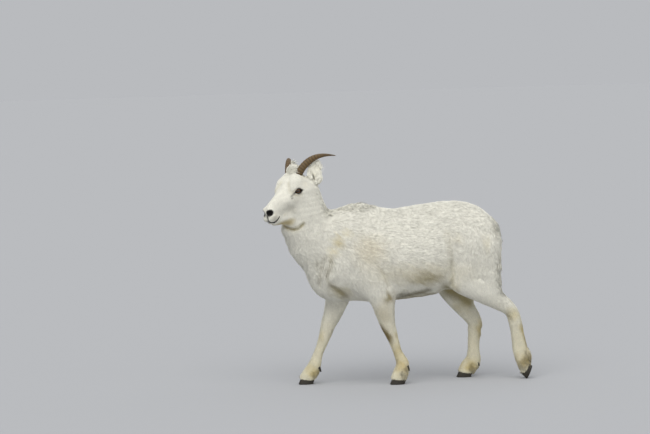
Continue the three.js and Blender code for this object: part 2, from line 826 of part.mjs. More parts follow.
// A rod of six sides along a smooth line.
function rod(points, radius, steps) {
  const curve = new THREE.CatmullRomCurve3(points);
  const section = new THREE.Shape();
  for (let s = 0; s < 6; s++) {
    const turn = (s / 6) * 2 * Math.PI;
    section[s ? "lineTo" : "moveTo"](radius * Math.cos(turn), radius * Math.sin(turn));
  }
  section.closePath();
  return new THREE.ExtrudeGeometry(section, { steps, extrudePath: curve });
}

// The mouth's line, settled on the face, and moved up or down by a shift.
function mouthLine(shift, sink) {
  const half = MOUTH.line.map(([x, y, z]) => [x, y, z + shift]);
  const whole = [...half, ...half.slice(0, -1).reverse().map(([x, y, z]) => [x, -y, z])];
  const slope = new THREE.Vector3();
  const curve = new THREE.CatmullRomCurve3(whole.map(vector));
  return curve.getPoints(20).map((p) => {
    settle(eweDistanceInHead, p, 30);
    return p.addScaledVector(gradient(eweDistanceInHead, p, slope).normalize(), -sink);
  });
}

for (const shift of [MOUTH.lipShift, -MOUTH.lipShift]) {
  const lip = solidOf(rod(mouthLine(shift, MOUTH.lip - 1.6), MOUTH.lip, MOUTH.steps));
  head = head.add(lip);
}
head = head.subtract(solidOf(rod(mouthLine(0, 0.2), MOUTH.groove, MOUTH.steps)));

for (const hand of [1, -1]) {
  const nostril = new THREE.SphereGeometry(1, 10, 8)
    .scale(...NOSTRIL.radii)
    .rotateZ(radians(NOSTRIL.turn * hand))
    .translate(...side(NOSTRIL.at, hand).toArray());
  head = head.subtract(solidOf(nostril));
}
const toWorld = HEAD_TO_WORLD.elements;
const placed = (solid) => solid.transform(toWorld);
addNode("head", placed(head), COLOURS.face, 0.9);

// Horns

// Rings of growth stand out of the horn's lower part, and the tip is smooth.
function hornGeometry(hand) {
  const base = side(HORN.base, hand);
  const leaned = (list) =>
    side(list, hand).sub(base).applyAxisAngle(new THREE.Vector3(1, 0, 0), radians(HORN.lean)).add(base);
  const curve = new THREE.QuadraticBezierCurve3(base, leaned(HORN.bend), leaned(HORN.tip));
  const sides = 10;
  const steps = 2 * HORN.rings;
  const ringed = Array.from({ length: steps + 1 }, (_, i) => (HORN.ringedPart * i) / steps);
  const smooth = [0.8, 0.9, 1];
  const rings = [...ringed, ...smooth].map((t, i) => {
    const centre = curve.getPoint(t);
    const along = curve.getTangent(t);
    const across = new THREE.Vector3().crossVectors(along, new THREE.Vector3(0, 0, 1)).normalize();
    const up = new THREE.Vector3().crossVectors(across, along);
    const stand = i < ringed.length && i % 2 ? HORN.ringDepth : 0;
    const radius = HORN.tipRadius + (HORN.radius - HORN.tipRadius) * (1 - t * t) + stand;
    return Array.from({ length: sides }, (_, s) => {
      const turn = (s / sides) * 2 * Math.PI;
      return centre
        .clone()
        .addScaledVector(up, 1.08 * radius * Math.cos(turn))
        .addScaledVector(across, 0.86 * radius * Math.sin(turn));
    });
  });
  return loft(rings);
}

// Ears

// A leaf that is rolled to a tube at its root and opens to a shallow cup toward its tip.
function earGeometry(hand) {
  const root = side(EAR.root, hand);
  const tip = side(EAR.tip, hand);
  const along = tip.clone().sub(root).normalize();
  const looks = side(EAR.looks, hand);
  looks.addScaledVector(along, -looks.dot(along)).normalize();
  const across = new THREE.Vector3().crossVectors(along, looks);
  const stations = [0, 0.12, 0.26, 0.42, 0.58, 0.74, 0.88, 0.97];
  const points = 6;
  const rings = stations.map((t) => {
    const middle = root.clone().lerp(tip, t);
    const widening = 0.6 + 0.4 * Math.sin(Math.PI * Math.min(t * 1.25, 0.5));
    const width = EAR.width * widening * Math.sqrt(1 - t ** 4);
    const halfAngle = radians(150 - 108 * Math.min(t * 1.5, 1));
    const radius = width / 2 / Math.sin(Math.min(halfAngle, Math.PI / 2));
    const thickness = EAR.thickness * (1 - 0.4 * t);
    const arc = (r) =>
      Array.from({ length: points + 1 }, (_, s) => {
        const turn = -halfAngle + (2 * halfAngle * s) / points;
        return middle
          .clone()
          .addScaledVector(looks, radius * 0.75 - r * Math.cos(turn))
          .addScaledVector(across, r * Math.sin(turn));
      });
    return [...arc(radius), ...arc(Math.max(radius - thickness, radius * 0.35)).reverse()];
  });
  return loft(rings);
}

for (const [hand, which] of [[1, "left"], [-1, "right"]]) {
  const horn = solidOf(hornGeometry(hand)).subtract(swollenHead);
  const ear = solidOf(earGeometry(hand)).subtract(swollenHead);
  addNode(`horn_${which}`, placed(horn), COLOURS.horn, 0.7);
  addNode(`ear_${which}`, placed(ear), COLOURS.face, 0.95);
  addNode(`eye_${which}`, placed(eyes[hand > 0 ? 0 : 1]), COLOURS.eye, 0.1);
}

const box = new THREE.Box3().setFromObject(ewe);
ewe.position.set(-(box.min.x + box.max.x) / 2, -(box.min.y + box.max.y) / 2, -box.min.z);

export default ewe;
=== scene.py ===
"""A dall sheep ewe in its winter coat, walking: skin, coat, eyes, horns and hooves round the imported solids.

Sizes of the animal are in millimetres, in its own frame: -X is forward, -Y is its left side, +Z is up,
and the floor is at 0. They are turned into metres and moved to the frame's place when a mesh is made.
"""

import math

import bpy
import numpy as np
from bpy.props import FloatProperty, FloatVectorProperty, IntProperty, PointerProperty
from mathutils import Matrix, Vector


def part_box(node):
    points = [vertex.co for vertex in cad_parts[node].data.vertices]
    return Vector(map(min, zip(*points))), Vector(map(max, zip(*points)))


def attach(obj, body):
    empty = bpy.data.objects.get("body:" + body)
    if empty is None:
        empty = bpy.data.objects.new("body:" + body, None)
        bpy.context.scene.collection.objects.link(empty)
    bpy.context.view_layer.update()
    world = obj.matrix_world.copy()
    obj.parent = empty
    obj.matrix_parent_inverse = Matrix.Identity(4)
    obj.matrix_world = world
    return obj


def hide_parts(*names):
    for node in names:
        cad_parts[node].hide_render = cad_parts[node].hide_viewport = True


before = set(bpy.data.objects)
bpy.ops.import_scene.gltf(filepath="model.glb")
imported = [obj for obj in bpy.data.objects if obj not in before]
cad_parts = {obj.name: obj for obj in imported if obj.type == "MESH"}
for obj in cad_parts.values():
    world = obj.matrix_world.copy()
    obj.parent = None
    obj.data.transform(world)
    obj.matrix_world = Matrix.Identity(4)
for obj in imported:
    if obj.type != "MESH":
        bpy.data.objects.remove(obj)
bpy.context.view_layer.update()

bl_info = {
    "name": "Dall sheep ewe",
    "version": (1, 0, 0),
    "blender": (4, 5, 0),
    "location": "3D View > Sidebar > Ewe",
    "description": "Builds a life-size walking ewe with a coat of solid tufts",
    "category": "Add Mesh",
}

MM = 0.001

# The trunk, spine and neck. Each station: along, height, radius in the walking plane, radius across,
# and sideways place where it isn't on the middle line.
TRUNK = (
    (-250, 588, 190, 108),
    (-140, 572, 198, 130),
    (-20, 574, 192, 146),
    (110, 588, 190, 146),
    (220, 622, 172, 132),
    (315, 648, 142, 114),
)
SPINE = (
    (-322, 716, 72, 60),
    (-258, 738, 76, 58),
    (-185, 748, 77, 60),
    (-60, 722, 76, 78),
    (45, 727, 80, 88),
    (170, 741, 80, 90),
    (270, 742, 78, 88),
    (334, 708, 78, 82),
    (368, 668, 70, 70),
)
NECK = (
    (-318, 610, 150, 96, 0),
    (-400, 682, 138, 90, -2),
    (-434, 760, 106, 82, -8),
    (-444, 835, 88, 70, -18),
    (-452, 892, 76, 60, -28),
)
# Muscles, made on both sides: centre (along, out, height), radii, tilt in degrees, and blend.
MUSCLES = (
    ((-232, 66, 600), (92, 56, 170), 20, 50),
    ((-315, 62, 548), (62, 44, 70), 0, 50),
    ((338, 62, 652), (92, 56, 108), -10, 50),
    ((318, 70, 482), (84, 48, 72), 0, 40),
    ((-318, 0, 492), (112, 84, 104), 0, 60),
    ((252, 0, 448), (52, 58, 34), 0, 30),
)
# The throat: centre, radii, tilt and blend.
THROAT = ((-490, -18, 726), (62, 50, 44), 0, 40)
TAIL = (
    (408, 722, 18, 22),
    (434, 694, 17, 20),
    (450, 662, 13, 16),
    (456, 638, 7, 9),
)

# How far a leg's middle line stands out from the body's: at the foot, and more at the stifle.
LEG_SPREAD = 74
THIGH_SPREAD = 10
# Legs: side, chains of stations (along, height, radius in the walking plane, radius across),
# place of the sole, how far the toe points down, and place and height of the fetlock.
LEGS = {
    "front_left": {
        "side": -1,
        "chains": (
            (
                (-225, 600, 86, 40),
                (-152, 480, 74, 44),
                (-112, 402, 60, 42),
                (-100, 340, 47, 37),
                (-87, 280, 36, 30),
                (-71, 232, 29, 27),
                (-57, 190, 23, 21),
                (-42, 142, 21, 19),
                (-22, 92, 30, 25),
                (-34, 54, 32, 26),
                (-47, 24, 33, 27),
            ),
        ),
        "sole": -49,
        "toe_down": 0,
        "fetlock": (-22, 78),
    },
    "front_right": {
        "side": 1,
        "chains": (
            (
                (-240, 600, 86, 40),
                (-268, 490, 74, 44),
                (-286, 408, 60, 42),
                (-309, 335, 46, 37),
                (-338, 270, 35, 30),
                (-351, 232, 30, 27),
                (-368, 186, 24, 21),
                (-388, 140, 22, 19),
                (-406, 88, 29, 25),
                (-427, 52, 34, 26),
                (-446, 24, 34, 27),
            ),
        ),
        "sole": -450,
        "toe_down": 0,
        "fetlock": (-408, 72),
    },
    "hind_left": {
        "side": -1,
        "chains": (
            (
                (335, 640, 112, 54),
                (265, 500, 72, 48),
                (262, 462, 60, 46),
                (345, 412, 52, 42),
                (425, 364, 42, 33),
                (484, 318, 32, 27),
                (507, 255, 31, 23),
                (517, 190, 31, 21),
                (524, 140, 35, 23),
                (534, 100, 35, 25),
                (541, 66, 28, 25),
                (548, 40, 25, 25),
            ),
            (
                (386, 620, 56, 54),
                (386, 500, 54, 48),
                (396, 428, 42, 38),
            ),
        ),
        "sole": 552,
        "toe_down": 66,
        "fetlock": (540, 92),
    },
    "hind_right": {
        "side": 1,
        "chains": (
            (
                (330, 640, 112, 54),
                (236, 500, 72, 48),
                (222, 452, 64, 46),
                (262, 380, 56, 42),
                (310, 312, 44, 34),
                (343, 262, 35, 28),
                (344, 222, 31, 24),
                (339, 165, 28, 21),
                (337, 115, 29, 22),
                (335, 78, 36, 25),
                (312, 50, 36, 26),
                (294, 24, 34, 27),
            ),
            (
                (382, 610, 56, 54),
                (350, 490, 60, 48),
                (308, 392, 48, 40),
            ),
        ),
        "sole": 288,
        "toe_down": 0,
        "fetlock": (332, 66),
    },
}
# One claw of a hoof, and the height of the hair line at its toe and heel.
CLAW = {"length": 66, "width": 22.5, "slit": 4, "toe_height": 31, "heel_height": 19, "toe_flat": 2.5}
DEWCLAW = {"length": 25, "radius": 8.5, "apart": 13, "back": 23, "droop": 62}

# The head has a frame of its own: forward along the face, to its left, and up.
HEAD_AT = np.array((-516.5, -40.0, 888.0))
HEAD_TURN = 39
HEAD_NOD = 24
HEAD_TILT = -2.5
# Stations of the skull and jaw: forward, up, radius up and down, radius across.
SKULL = (
    (-66, 8, 50, 50),
    (-30, 10, 52, 54),
    (12, -2, 48, 48),
    (50, -14, 50, 39),
    (90, -18, 46, 33),
    (125, -20, 39, 30),
    (149, -22, 33, 27),
)
JAW = (
    (-36, -90, 44, 44),
    (10, -96, 42, 40),
    (56, -89, 35, 32),
    (102, -77, 26, 26),
    (145, -67, 20, 22),
)
# Forms of the head, made on both sides: centre (forward, left, up), radii, tilt, and blend.
HEAD_FORMS = (
    ((-16, 32, -50), (58, 26, 62), 0, 30),
    ((-28, 38, 40), (42, 28, 26), 0, 18),
    ((2, 42, 19), (33, 25, 22), 0, 18),
    ((24, 34, -14), (46, 24, 30), 0, 22),
    ((157, 14, -41), (27, 18, 21), 0, 12),
    ((159, 13, -9), (18, 13, 16), 0, 12),
    ((-74, 0, 66), (34, 38, 40), 0, 22),
    ((-88, 52, 8), (26, 22, 28), 0, 18),
    ((-58, 29, 44), (20, 18, 20), 0, 12),
    ((-40, 24, 54), (22, 20, 20), 0, 14),
)
NECK_BLEND = 26
HEAD_REACH = 420
# Nothing of the face, the horns' bases or the ears lies further from the head's middle.
FACE_REACH = 230
EYE_AT = np.array((-10.0, 45.0, 6.0))
EYE_RADIUS = 21
EYE_OUTWARD = (0.5, 0.84, 0.14)
EYE_RISE = 14
LID = {"thickness": 3, "length": 42, "height": 22}
NOSTRIL = {"at": (170, 18, -13), "radii": (15, 8.5, 12), "turn": -38}
# The mouth, from its left corner to the middle of the lips.
MOUTH = ((128, 28, -54), (144, 24, -56), (160, 17, -59), (174, 0, -51))
EAR = {"root": (-99, 62, -10), "tip": (-152, 76, 79), "width": 52, "thickness": 5, "looks": (0.75, 0.65, 0.1)}
HORN = {
    "base": (-58, 30, 54),
    "bend": (-145, 70, 132),
    "tip": (-214, 149, 63),
    "lean": 6.5,
    "radius": 15.5,
    "tip_radius": 2.6,
}
# Planes that part head from neck and neck from torso, for the pieces of the coat.
HEAD_CUT = ((-455, -20, 762), (-0.52, -0.24, 0.82))
NECK_CUT = ((-292, 0, 815), (-0.865, 0, 0.5))

# Markings, the same on skin and coat. Their colours are as seen in soft light.
# Stained hair, and painted shade where a mark stands for shade (the belly, the elbow hollow, the brisket, the
# far gaskin and the hip hollow): centre and radii in the ewe's frame, colour, and strength.
BODY_MARKS = (
    ("shoulder stain", (-308, -115, 660), (26, 40, 40), "#c6b98f", 0.75),
    ("lower shoulder stain", (-332, -112, 614), (18, 40, 34), "#c6b98f", 0.65),
    ("upper shoulder stain", (-268, -112, 703), (20, 40, 18), "#cbc09c", 0.5),
    ("far shoulder stain", (-308, 115, 650), (30, 40, 44), "#c6b98f", 0.5),
    ("shoulder blade", (-165, -128, 618), (90, 50, 95), "#c6bb9f", 0.55),
    ("far shoulder blade", (-165, 128, 618), (85, 50, 90), "#c6bb9f", 0.4),
    ("flank", (70, -140, 500), (260, 60, 60), "#c2b795", 0.45),
    ("flank stain", (96, -118, 478), (84, 46, 32), "#8a7e55", 0.8),
    ("far flank stain", (90, 118, 474), (90, 46, 30), "#9c9068", 0.6),
    # The belly is partly stained and partly painted shade, for the light that doesn't reach under it.
    ("belly", (70, 0, 384), (250, 110, 36), "#7d7148", 0.85),
    # Painted shade in the hollow behind the elbow, with a brown stain in it.
    ("elbow hollow", (-84, -112, 405), (28, 40, 30), "#7a6d44", 0.9),
    # Painted shadow under the brisket.
    ("brisket", (-292, -62, 432), (56, 60, 36), "#8f8459", 0.6),
    ("far elbow", (-262, 100, 415), (34, 60, 30), "#a69763", 0.6),
    ("near forearm", (-108, -110, 330), (60, 60, 70), "#b3a88a", 0.5),
    ("near knee", (-94, -88, 228), (26, 40, 36), "#74643a", 0.9),
    ("back of the near knee", (-42, -80, 228), (16, 40, 30), "#b5a573", 0.6),
    ("near fore cannon", (-45, -76, 150), (40, 50, 60), "#b8a774", 0.6),
    ("far knee", (-372, 84, 214), (20, 40, 34), "#b3a470", 0.6),
    ("near fore fetlock", (-28, -80, 78), (38, 50, 42), "#b9a468", 0.8),
    ("back of the near fore fetlock", (-4, -80, 62), (22, 50, 26), "#8a7743", 0.7),
    ("far fore fetlock", (-412, 74, 60), (44, 50, 40), "#b4a264", 0.8),
    ("far hind foot", (318, 74, 52), (46, 50, 44), "#b39f5c", 0.8),
    ("near hind foot", (546, -74, 84), (44, 50, 46), "#a08c50", 0.85),
    ("near hock", (492, -84, 300), (34, 50, 34), "#c9bc8d", 0.6),
    ("far hock", (368, 74, 222), (26, 50, 60), "#b3a26b", 0.75),
    # Painted shade where the near thigh shades the far leg, with a yellow stain.
    ("far gaskin", (290, 74, 350), (60, 50, 60), "#a3945f", 0.6),
    ("stifle", (225, -90, 440), (40, 40, 40), "#b3a880", 0.5),
    # Painted shade in the hollow before the hip.
    ("hip hollow", (240, -130, 655), (30, 40, 34), "#bfb8a2", 0.5),
    ("rump stain", (372, -136, 622), (20, 40, 40), "#c6bd9f", 0.5),
    ("under the tail", (440, 0, 610), (30, 36, 60), "#bdb087", 0.5),
)
# Creases and edges, tinted by painted shade where shade falls in them and by stains: line, width, depth,
# colour, strength, and whether both sides have it.
BODY_CREASES = (
    # The creases of the shoulder are painted shade, darker than their depth shows under the hair.
    ("front crease", ((-402, -84, 574), (-407, -75, 537)), 8, 8, "#5f5639", 0.95, True),
    ("second crease", ((-365, -100, 592), (-387, -90, 551), (-386, -91, 533)), 9, 9, "#5f5639", 1.0, True),
    ("third crease", ((-346, -110, 590), (-351, -109, 556), (-367, -93, 492)), 8, 8, "#696043", 0.9, True),
    ("fourth crease", ((-335, -114, 592), (-345, -110, 529)), 8, 7, "#696043", 0.8, True),
    ("low crease", ((-392, -83, 510), (-397, -64, 472)), 8, 8, "#696043", 0.9, True),
    # Painted shadow under the brisket's edge.
    (
        "edge of the brisket",
        ((-345, -88, 462), (-302, -78, 429), (-262, -52, 398)),
        14, 7, "#6f6440", 0.85, True,
    ),
    # Painted shade in the elbow's crease.
    ("elbow crease", ((-122, -134, 530), (-98, -131, 498), (-86, -124, 455)), 10, 7, "#968d70", 0.65, False),
    # Painted shade along the belly's lower edge, with its stain.
    (
        "edge of the belly",
        ((-15, -64, 402), (31, -66, 404), (67, -71, 413), (106, -76, 424)),
        16, 0, "#574b2a", 0.85, True,
    ),
    # Painted shade in the thigh's grooves.
    (
        "thigh groove",
        ((194, -121, 695), (196, -131, 654), (203, -136, 609), (207, -130, 554)),
        10, 7, "#a0987e", 0.6, True,
    ),
    (
        "lower thigh groove",
        ((207, -130, 554), (212, -122, 489), (205, -105, 455)),
        11, 7, "#978f70", 0.65, True,
    ),
    # The groin and the inner sides of the thighs are painted shade, where the thighs shade each other.
    (
        "groin",
        ((191, -60, 441), (235, -30, 415), (235, 30, 415), (191, 60, 441)),
        28, 0, "#7d724a", 0.8, False,
    ),
    (
        "far thigh",
        ((222, 40, 405), (250, 37, 395), (287, 39, 370), (321, 48, 345)),
        22, 0, "#8a7d4c", 0.8, False,
    ),
    ("near thigh", ((240, -40, 425), (290, -40, 395), (340, -42, 375)), 20, 0, "#9b9068", 0.6, False),
    (
        "front of the near knee",
        ((-112, -84, 262), (-100, -88, 232), (-84, -88, 200)),
        13, 0, "#6d5c34", 0.9, False,
    ),
    (
        "back of the near hind cannon",
        ((530, -88, 236), (546, -80, 200), (558, -76, 150)),
        13, 0, "#a3935f", 0.85, False,
    ),
    # Painted shade in the hock's crease.
    ("crease of the near hock", ((468, -92, 296), (484, -95, 272)), 8, 4, "#9b9070", 0.65, False),
    (
        "back of the far foreleg",
        ((-325, 74, 215), (-345, 74, 170), (-362, 74, 120)),
        12, 0, "#b9ab78", 0.6, False,
    ),
    # Painted shadow under the jaw, with the yellow stain of its hair.
    ("edge of the jaw", ((-543, -45, 738), (-522, -63, 727), (-502, -73, 723)), 8, 6, "#6f6238", 0.95, False),
    (
        "corner of the jaw",
        ((-502, -73, 723), (-481, -79, 731), (-460, -83, 749)),
        8, 6, "#82774e", 0.85, False,
    ),
)
# The same for the head, in its frame and on both sides.
HEAD_MARKS = (
    ("round the eye", (6, 62, 4), (28, 24, 20), "#c3bca5", 0.6),
    ("tear spot", (43, 56, -5), (6, 12, 5), "#5a4e3e", 0.85),
    ("under the eye", (20, 62, -22), (34, 20, 10), "#cfcab8", 0.25),
    ("temple", (-44, 62, 12), (26, 30, 26), "#c5c0ae", 0.4),
    ("base of the horn", (-50, 34, 46), (30, 26, 16), "#c9be9b", 0.55),
    ("cheek", (62, 40, -62), (40, 30, 22), "#d6d1be", 0.25),
    ("cheek spot", (92, 36, -62), (14, 20, 6), "#b3a67c", 0.5),
    ("chin", (128, 0, -92), (50, 34, 20), "#ac9c6e", 0.75),
    # The jaw's mark is partly the yellow stain of its hair and partly painted shade along its lower edge.
    ("jaw", (106, 20, -108), (74, 32, 24), "#b5a574", 0.8),
    ("upper lip", (158, 24, -42), (24, 22, 16), "#a8a496", 0.6),
    ("front of the nostril", (182, 12, -17), (9, 11, 10), "#15110e", 1.0),
)
# Creases of the head, in its frame and on both sides: line, width, depth, colour and strength. The tear
# groove and the eye's back corner are dark skin; the others are painted shade in their creases.
HEAD_CREASES = (
    ("tear groove", ((16, 62, 11), (28, 60, 9), (42, 55, 4)), 4.6, 2.4, "#0f0b08", 1.0),
    ("back corner of the eye", ((-20, 72, 4), (-27, 72, 2)), 3.2, 1.4, "#2a2018", 0.9),
    ("front of the brow", ((1, 24, 56), (22, 36, 42), (33, 45, 30), (36, 54, 15)), 7, 1.6, "#c4bfa9", 0.5),
    ("over the eye", ((26, 58, 20), (8, 64, 24), (-14, 66, 18), (-28, 66, 8)), 3.5, 1.4, "#a89e86", 0.6),
    ("under the eye", ((32, 58, 2), (14, 66, -8), (-8, 70, -10)), 3.5, 1.2, "#b5ac94", 0.5),
    ("behind the mouth", ((120, 32, -54), (104, 36, -62), (84, 40, -66)), 5, 1.4, "#b8ae8d", 0.55),
    ("side of the nose", ((150, 30, -28), (128, 34, -34), (104, 38, -36)), 6, 1.0, "#c9c4b2", 0.4),
)
# The line from the nostrils down to the mouth, in the head's frame.
PHILTRUM = np.array(((186.0, 5, -20), (190.0, 5, -52)))
# Where locks of hair stand up: centre and radii in the ewe's frame, and how much.
RUFFLED = (
    ("withers", (-235, 0, 822), (110, 60, 46), 2.4),
    ("nape", (-352, -5, 800), (50, 60, 60), 1.8),
    ("rump", (415, 0, 690), (50, 120, 100), 2.2),
    ("back of the near thigh", (440, -80, 500), (44, 60, 120), 2.4),
    ("back of the far thigh", (400, 80, 480), (54, 60, 120), 2.0),
    ("back of the near hind cannon", (562, -74, 150), (26, 40, 90), 5.0),
    ("back of the far hock", (385, 74, 220), (24, 40, 60), 2.6),
    ("near fore fetlock", (-10, -74, 60), (34, 40, 40), 4.6),
    ("far fore fetlock", (-395, 74, 52), (34, 40, 36), 4.2),
    ("near hind fetlock", (548, -74, 80), (40, 40, 44), 4.6),
    ("far hind fetlock", (340, 74, 50), (34, 40, 36), 4.2),
    ("elbow", (-34, -95, 415), (40, 40, 36), 3.0),
    ("brisket", (-285, -30, 405), (60, 70, 30), 1.8),
    ("belly", (120, 0, 392), (200, 90, 30), 1.4),
    ("crown", (-497, -18, 1004), (54, 54, 44), 2.4),
)


def linear(code):
    """A colour such as #d2cfc4 as linear red, green and blue."""
    parts = [int(code[i : i + 2], 16) / 255 for i in (1, 3, 5)]
    return tuple(p / 12.92 if p <= 0.04045 else ((p + 0.055) / 1.055) ** 2.4 for p in parts)


def seen(code):
    """The hair's own colour for one as seen in soft light, which shows it about a quarter darker."""
    return np.minimum(np.array(linear(code)) * 1.35, 0.9)


# Settings


def length_setting(name, description, default, low, high):
    """A setting that is a length, in metres."""
    return FloatProperty(
        name=name, description=description, default=default, min=low, max=high, unit="LENGTH"
    )


def colour_setting(name, description, code):
    """A setting that is a colour, from a code such as #d2cfc4."""
    colour = linear(code)
    return FloatVectorProperty(
        name=name, description=description, default=colour, subtype="COLOR", size=3, min=0, max=1
    )


def angle_setting(name, description, degrees):
    """A setting that is an angle, from its degrees."""
    return FloatProperty(name=name, description=description, default=math.radians(degrees), subtype="ANGLE")


class EweCoatSettings(bpy.types.PropertyGroup):
    """Sizes and colours of the coat."""

    depth: length_setting("Body depth", "How deep the winter coat is on the body", 0.0056, 0.002, 0.03)
    face_depth: length_setting("Face depth", "How deep the hair is on the face", 0.0013, 0.0005, 0.01)
    leg_depth: length_setting("Leg depth", "How deep the hair is on the lower legs", 0.0026, 0.0005, 0.01)
    tufts: IntProperty(
        name="Tufts",
        description="How many tufts the whole coat has",
        default=235000,
        min=1000,
        max=240000,
    )
    clump: length_setting("Clump", "Distance between the places that tufts draw to", 0.013, 0.004, 0.05)
    seed: IntProperty(name="Seed", description="Starts the random draws", default=7, min=0)
    white: colour_setting("White hair", "Colour of clean hair on the back and flanks", "#f1eee0")
    cream: colour_setting("Leg hair", "Colour of the hair on the lower legs", "#ebe4c9")


class EweHornSettings(bpy.types.PropertyGroup):
    """Sizes and colours of the horns."""

    rings: IntProperty(name="Rings", description="Rings of growth on each horn", default=15, min=3, max=40)
    ring_depth: length_setting("Ring depth", "How far the rings stand out", 0.0011, 0, 0.004)
    colour: colour_setting("Horn", "Colour of the horn on the rings", "#6c5530")
    groove: colour_setting("Grooves", "Colour of the horn between the rings", "#281d11")


class EweEyeSettings(bpy.types.PropertyGroup):
    """Sizes and colours of the eyes."""

    iris: length_setting("Iris", "Radius of the iris", 0.0125, 0.004, 0.018)
    pupil: length_setting("Pupil", "Half length of the level pupil", 0.0075, 0.001, 0.01)
    colour: colour_setting("Iris colour", "Colour of the iris at its middle", "#5f401f")


class EweHoofSettings(bpy.types.PropertyGroup):
    """Colours of the hooves."""

    colour: colour_setting("Hoof", "Colour of the claws and dewclaws", "#2f2a1f")


class EweStageSettings(bpy.types.PropertyGroup):
    """The floor, the light and the place of the camera."""

    azimuth: angle_setting("Azimuth", "Way the camera looks, turned from the ewe's left side", -8)
    elevation: angle_setting("Elevation", "How far the camera looks down", 4)
    roll: angle_setting("Roll", "How far the camera is rolled", -1.596)
    distance: FloatProperty(
        name="Distance",
        description="From the camera to the ewe",
        default=12.0,
        min=1,
        unit="LENGTH",
    )
    width: FloatProperty(
        name="View width",
        description="Width of the view where the ewe stands",
        default=2.9575,
        min=0.5,
        unit="LENGTH",
    )
    floor: colour_setting("Floor", "Colour of the floor", "#b1b2b4")


# Distances to forms, for many places at once


def ellipsoid_distance(u, v, w, ru, rv, rw):
    """About how far places lie outside an ellipsoid, from their offsets and its radii."""
    scaled = np.sqrt((u / ru) ** 2 + (v / rv) ** 2 + (w / rw) ** 2)
    slope = np.sqrt((u / ru**2) ** 2 + (v / rv**2) ** 2 + (w / rw**2) ** 2)
    return scaled * (scaled - 1) / np.maximum(slope, 1e-6)


def smooth_union(a, b, blend):
    """The lower of two distances, rounded where they are nearly alike."""
    near = np.maximum(blend - np.abs(a - b), 0) / blend
    return np.minimum(a, b) - near * near * blend * 0.25


def smooth_cut(a, b, blend):
    """What is left of form a when form b is taken away."""
    return -smooth_union(-a, b, blend)


def resample(stations, steps=3):
    """A smooth line through the stations, by Catmull and Rom's formula."""
    stations = np.array(stations, float)
    last = len(stations) - 1
    fine = []
    for i in range(last):
        a, b, c, d = (stations[min(max(i + k, 0), last)] for k in (-1, 0, 1, 2))
        for s in range(steps):
            t = s / steps
            curve = 2 * b + (c - a) * t
            curve = curve + (2 * a - 5 * b + 4 * c - d) * t**2 + (3 * b - a - 3 * c + d) * t**3
            fine.append(curve / 2)
    fine.append(stations[last])
    return np.array(fine)


def unit(vectors):
    """The same directions, each of length one."""
    vectors = np.asarray(vectors, float)
    return vectors / np.maximum(np.linalg.norm(vectors, axis=-1, keepdims=True), 1e-9)


class Chain:
    """A row of elliptic cones. A station: along, sideways, height, radius upright, radius across."""

    def __init__(self, stations, blend, lie=1):
        fine = resample(stations)
        self.starts = fine[:-1]
        self.ends = fine[1:]
        self.blend = blend
        # Which way the hair lies along the row: 1 with the stations, -1 against them.
        self.lie = lie
        steps = self.ends[:, :3] - self.starts[:, :3]
        self.lengths = np.linalg.norm(steps, axis=1)
        self.axes = unit(steps)
        self.across = unit(np.array((0, 1, 0)) - self.axes * self.axes[:, 1:2])
        self.upright = np.cross(self.axes, self.across)
        radii = fine[:, 3:].max(axis=1, keepdims=True)
        self.low = (fine[:, :3] - radii).min(axis=0)
        self.high = (fine[:, :3] + radii).max(axis=0)

    def measure(self, points):
        """The distance of each place, and the number of the link that is nearest to it."""
        lowest = np.full(len(points), np.inf)
        nearest = np.zeros(len(points), int)
        for i, (a, b) in enumerate(zip(self.starts, self.ends)):
            offset = points - a[:3]
            along = offset @ self.axes[i]
            t = np.clip(along / self.lengths[i], 0, 1)
            past = along - t * self.lengths[i]
            ru = a[3] + (b[3] - a[3]) * t
            rv = a[4] + (b[4] - a[4]) * t
            u = offset @ self.upright[i]
            v = offset @ self.across[i]
            distance = ellipsoid_distance(u, v, past, ru, rv, np.minimum(ru, rv))
            closer = distance < lowest
            lowest[closer] = distance[closer]
            nearest[closer] = i
        return lowest, nearest

    def distance(self, points):
        return self.measure(points)[0]


class Ball:
    """An ellipsoid, turned by a tilt about the sideways axis."""

    def __init__(self, at, radii, tilt, blend):
        self.at = np.array(at, float)
        self.radii = radii
        self.blend = blend
        self.cosine = math.cos(math.radians(tilt))
        self.sine = math.sin(math.radians(tilt))
        self.low = self.at - max(radii)
        self.high = self.at + max(radii)

    def distance(self, points):
        x, y, z = (points - self.at).T
        forward = self.cosine * x + self.sine * z
        up = self.cosine * z - self.sine * x
        return ellipsoid_distance(forward, y, up, *self.radii)


def level(stations):
    """Stations of the middle line, with their sideways place put second."""
    return [(s[0], s[4] if len(s) > 4 else 0, s[1], s[2], s[3]) for s in stations]


def both_sides(forms):
    """Each form, and its mirror image where it isn't on the middle line."""
    for at, radii, tilt, blend in forms:
        for hand in (1, -1) if at[1] else (1,):
            yield Ball((at[0], at[1] * hand, at[2]), radii, tilt, blend)


def leg_spread(height):
    return LEG_SPREAD + THIGH_SPREAD * np.exp(-(((height - 430) / 130) ** 2))


def leg_chains():
    """The chains of all four legs."""
    for leg in LEGS.values():
        for stations in leg["chains"]:
            yield Chain([(x, leg["side"] * leg_spread(z), z, r, w) for x, z, r, w in stations], 34)


BODY = [
    Chain(level(TRUNK), 40),
    Chain(level(SPINE), 50),
    Chain(level(NECK), 40, lie=-1),
    *both_sides(MUSCLES),
    Ball(*THROAT),
    *leg_chains(),
]
HEAD = [Chain(level(SKULL), 20, lie=-1), Chain(level(JAW), 22, lie=-1), *both_sides(HEAD_FORMS)]
TAIL_CHAIN = Chain(level(TAIL), 10)


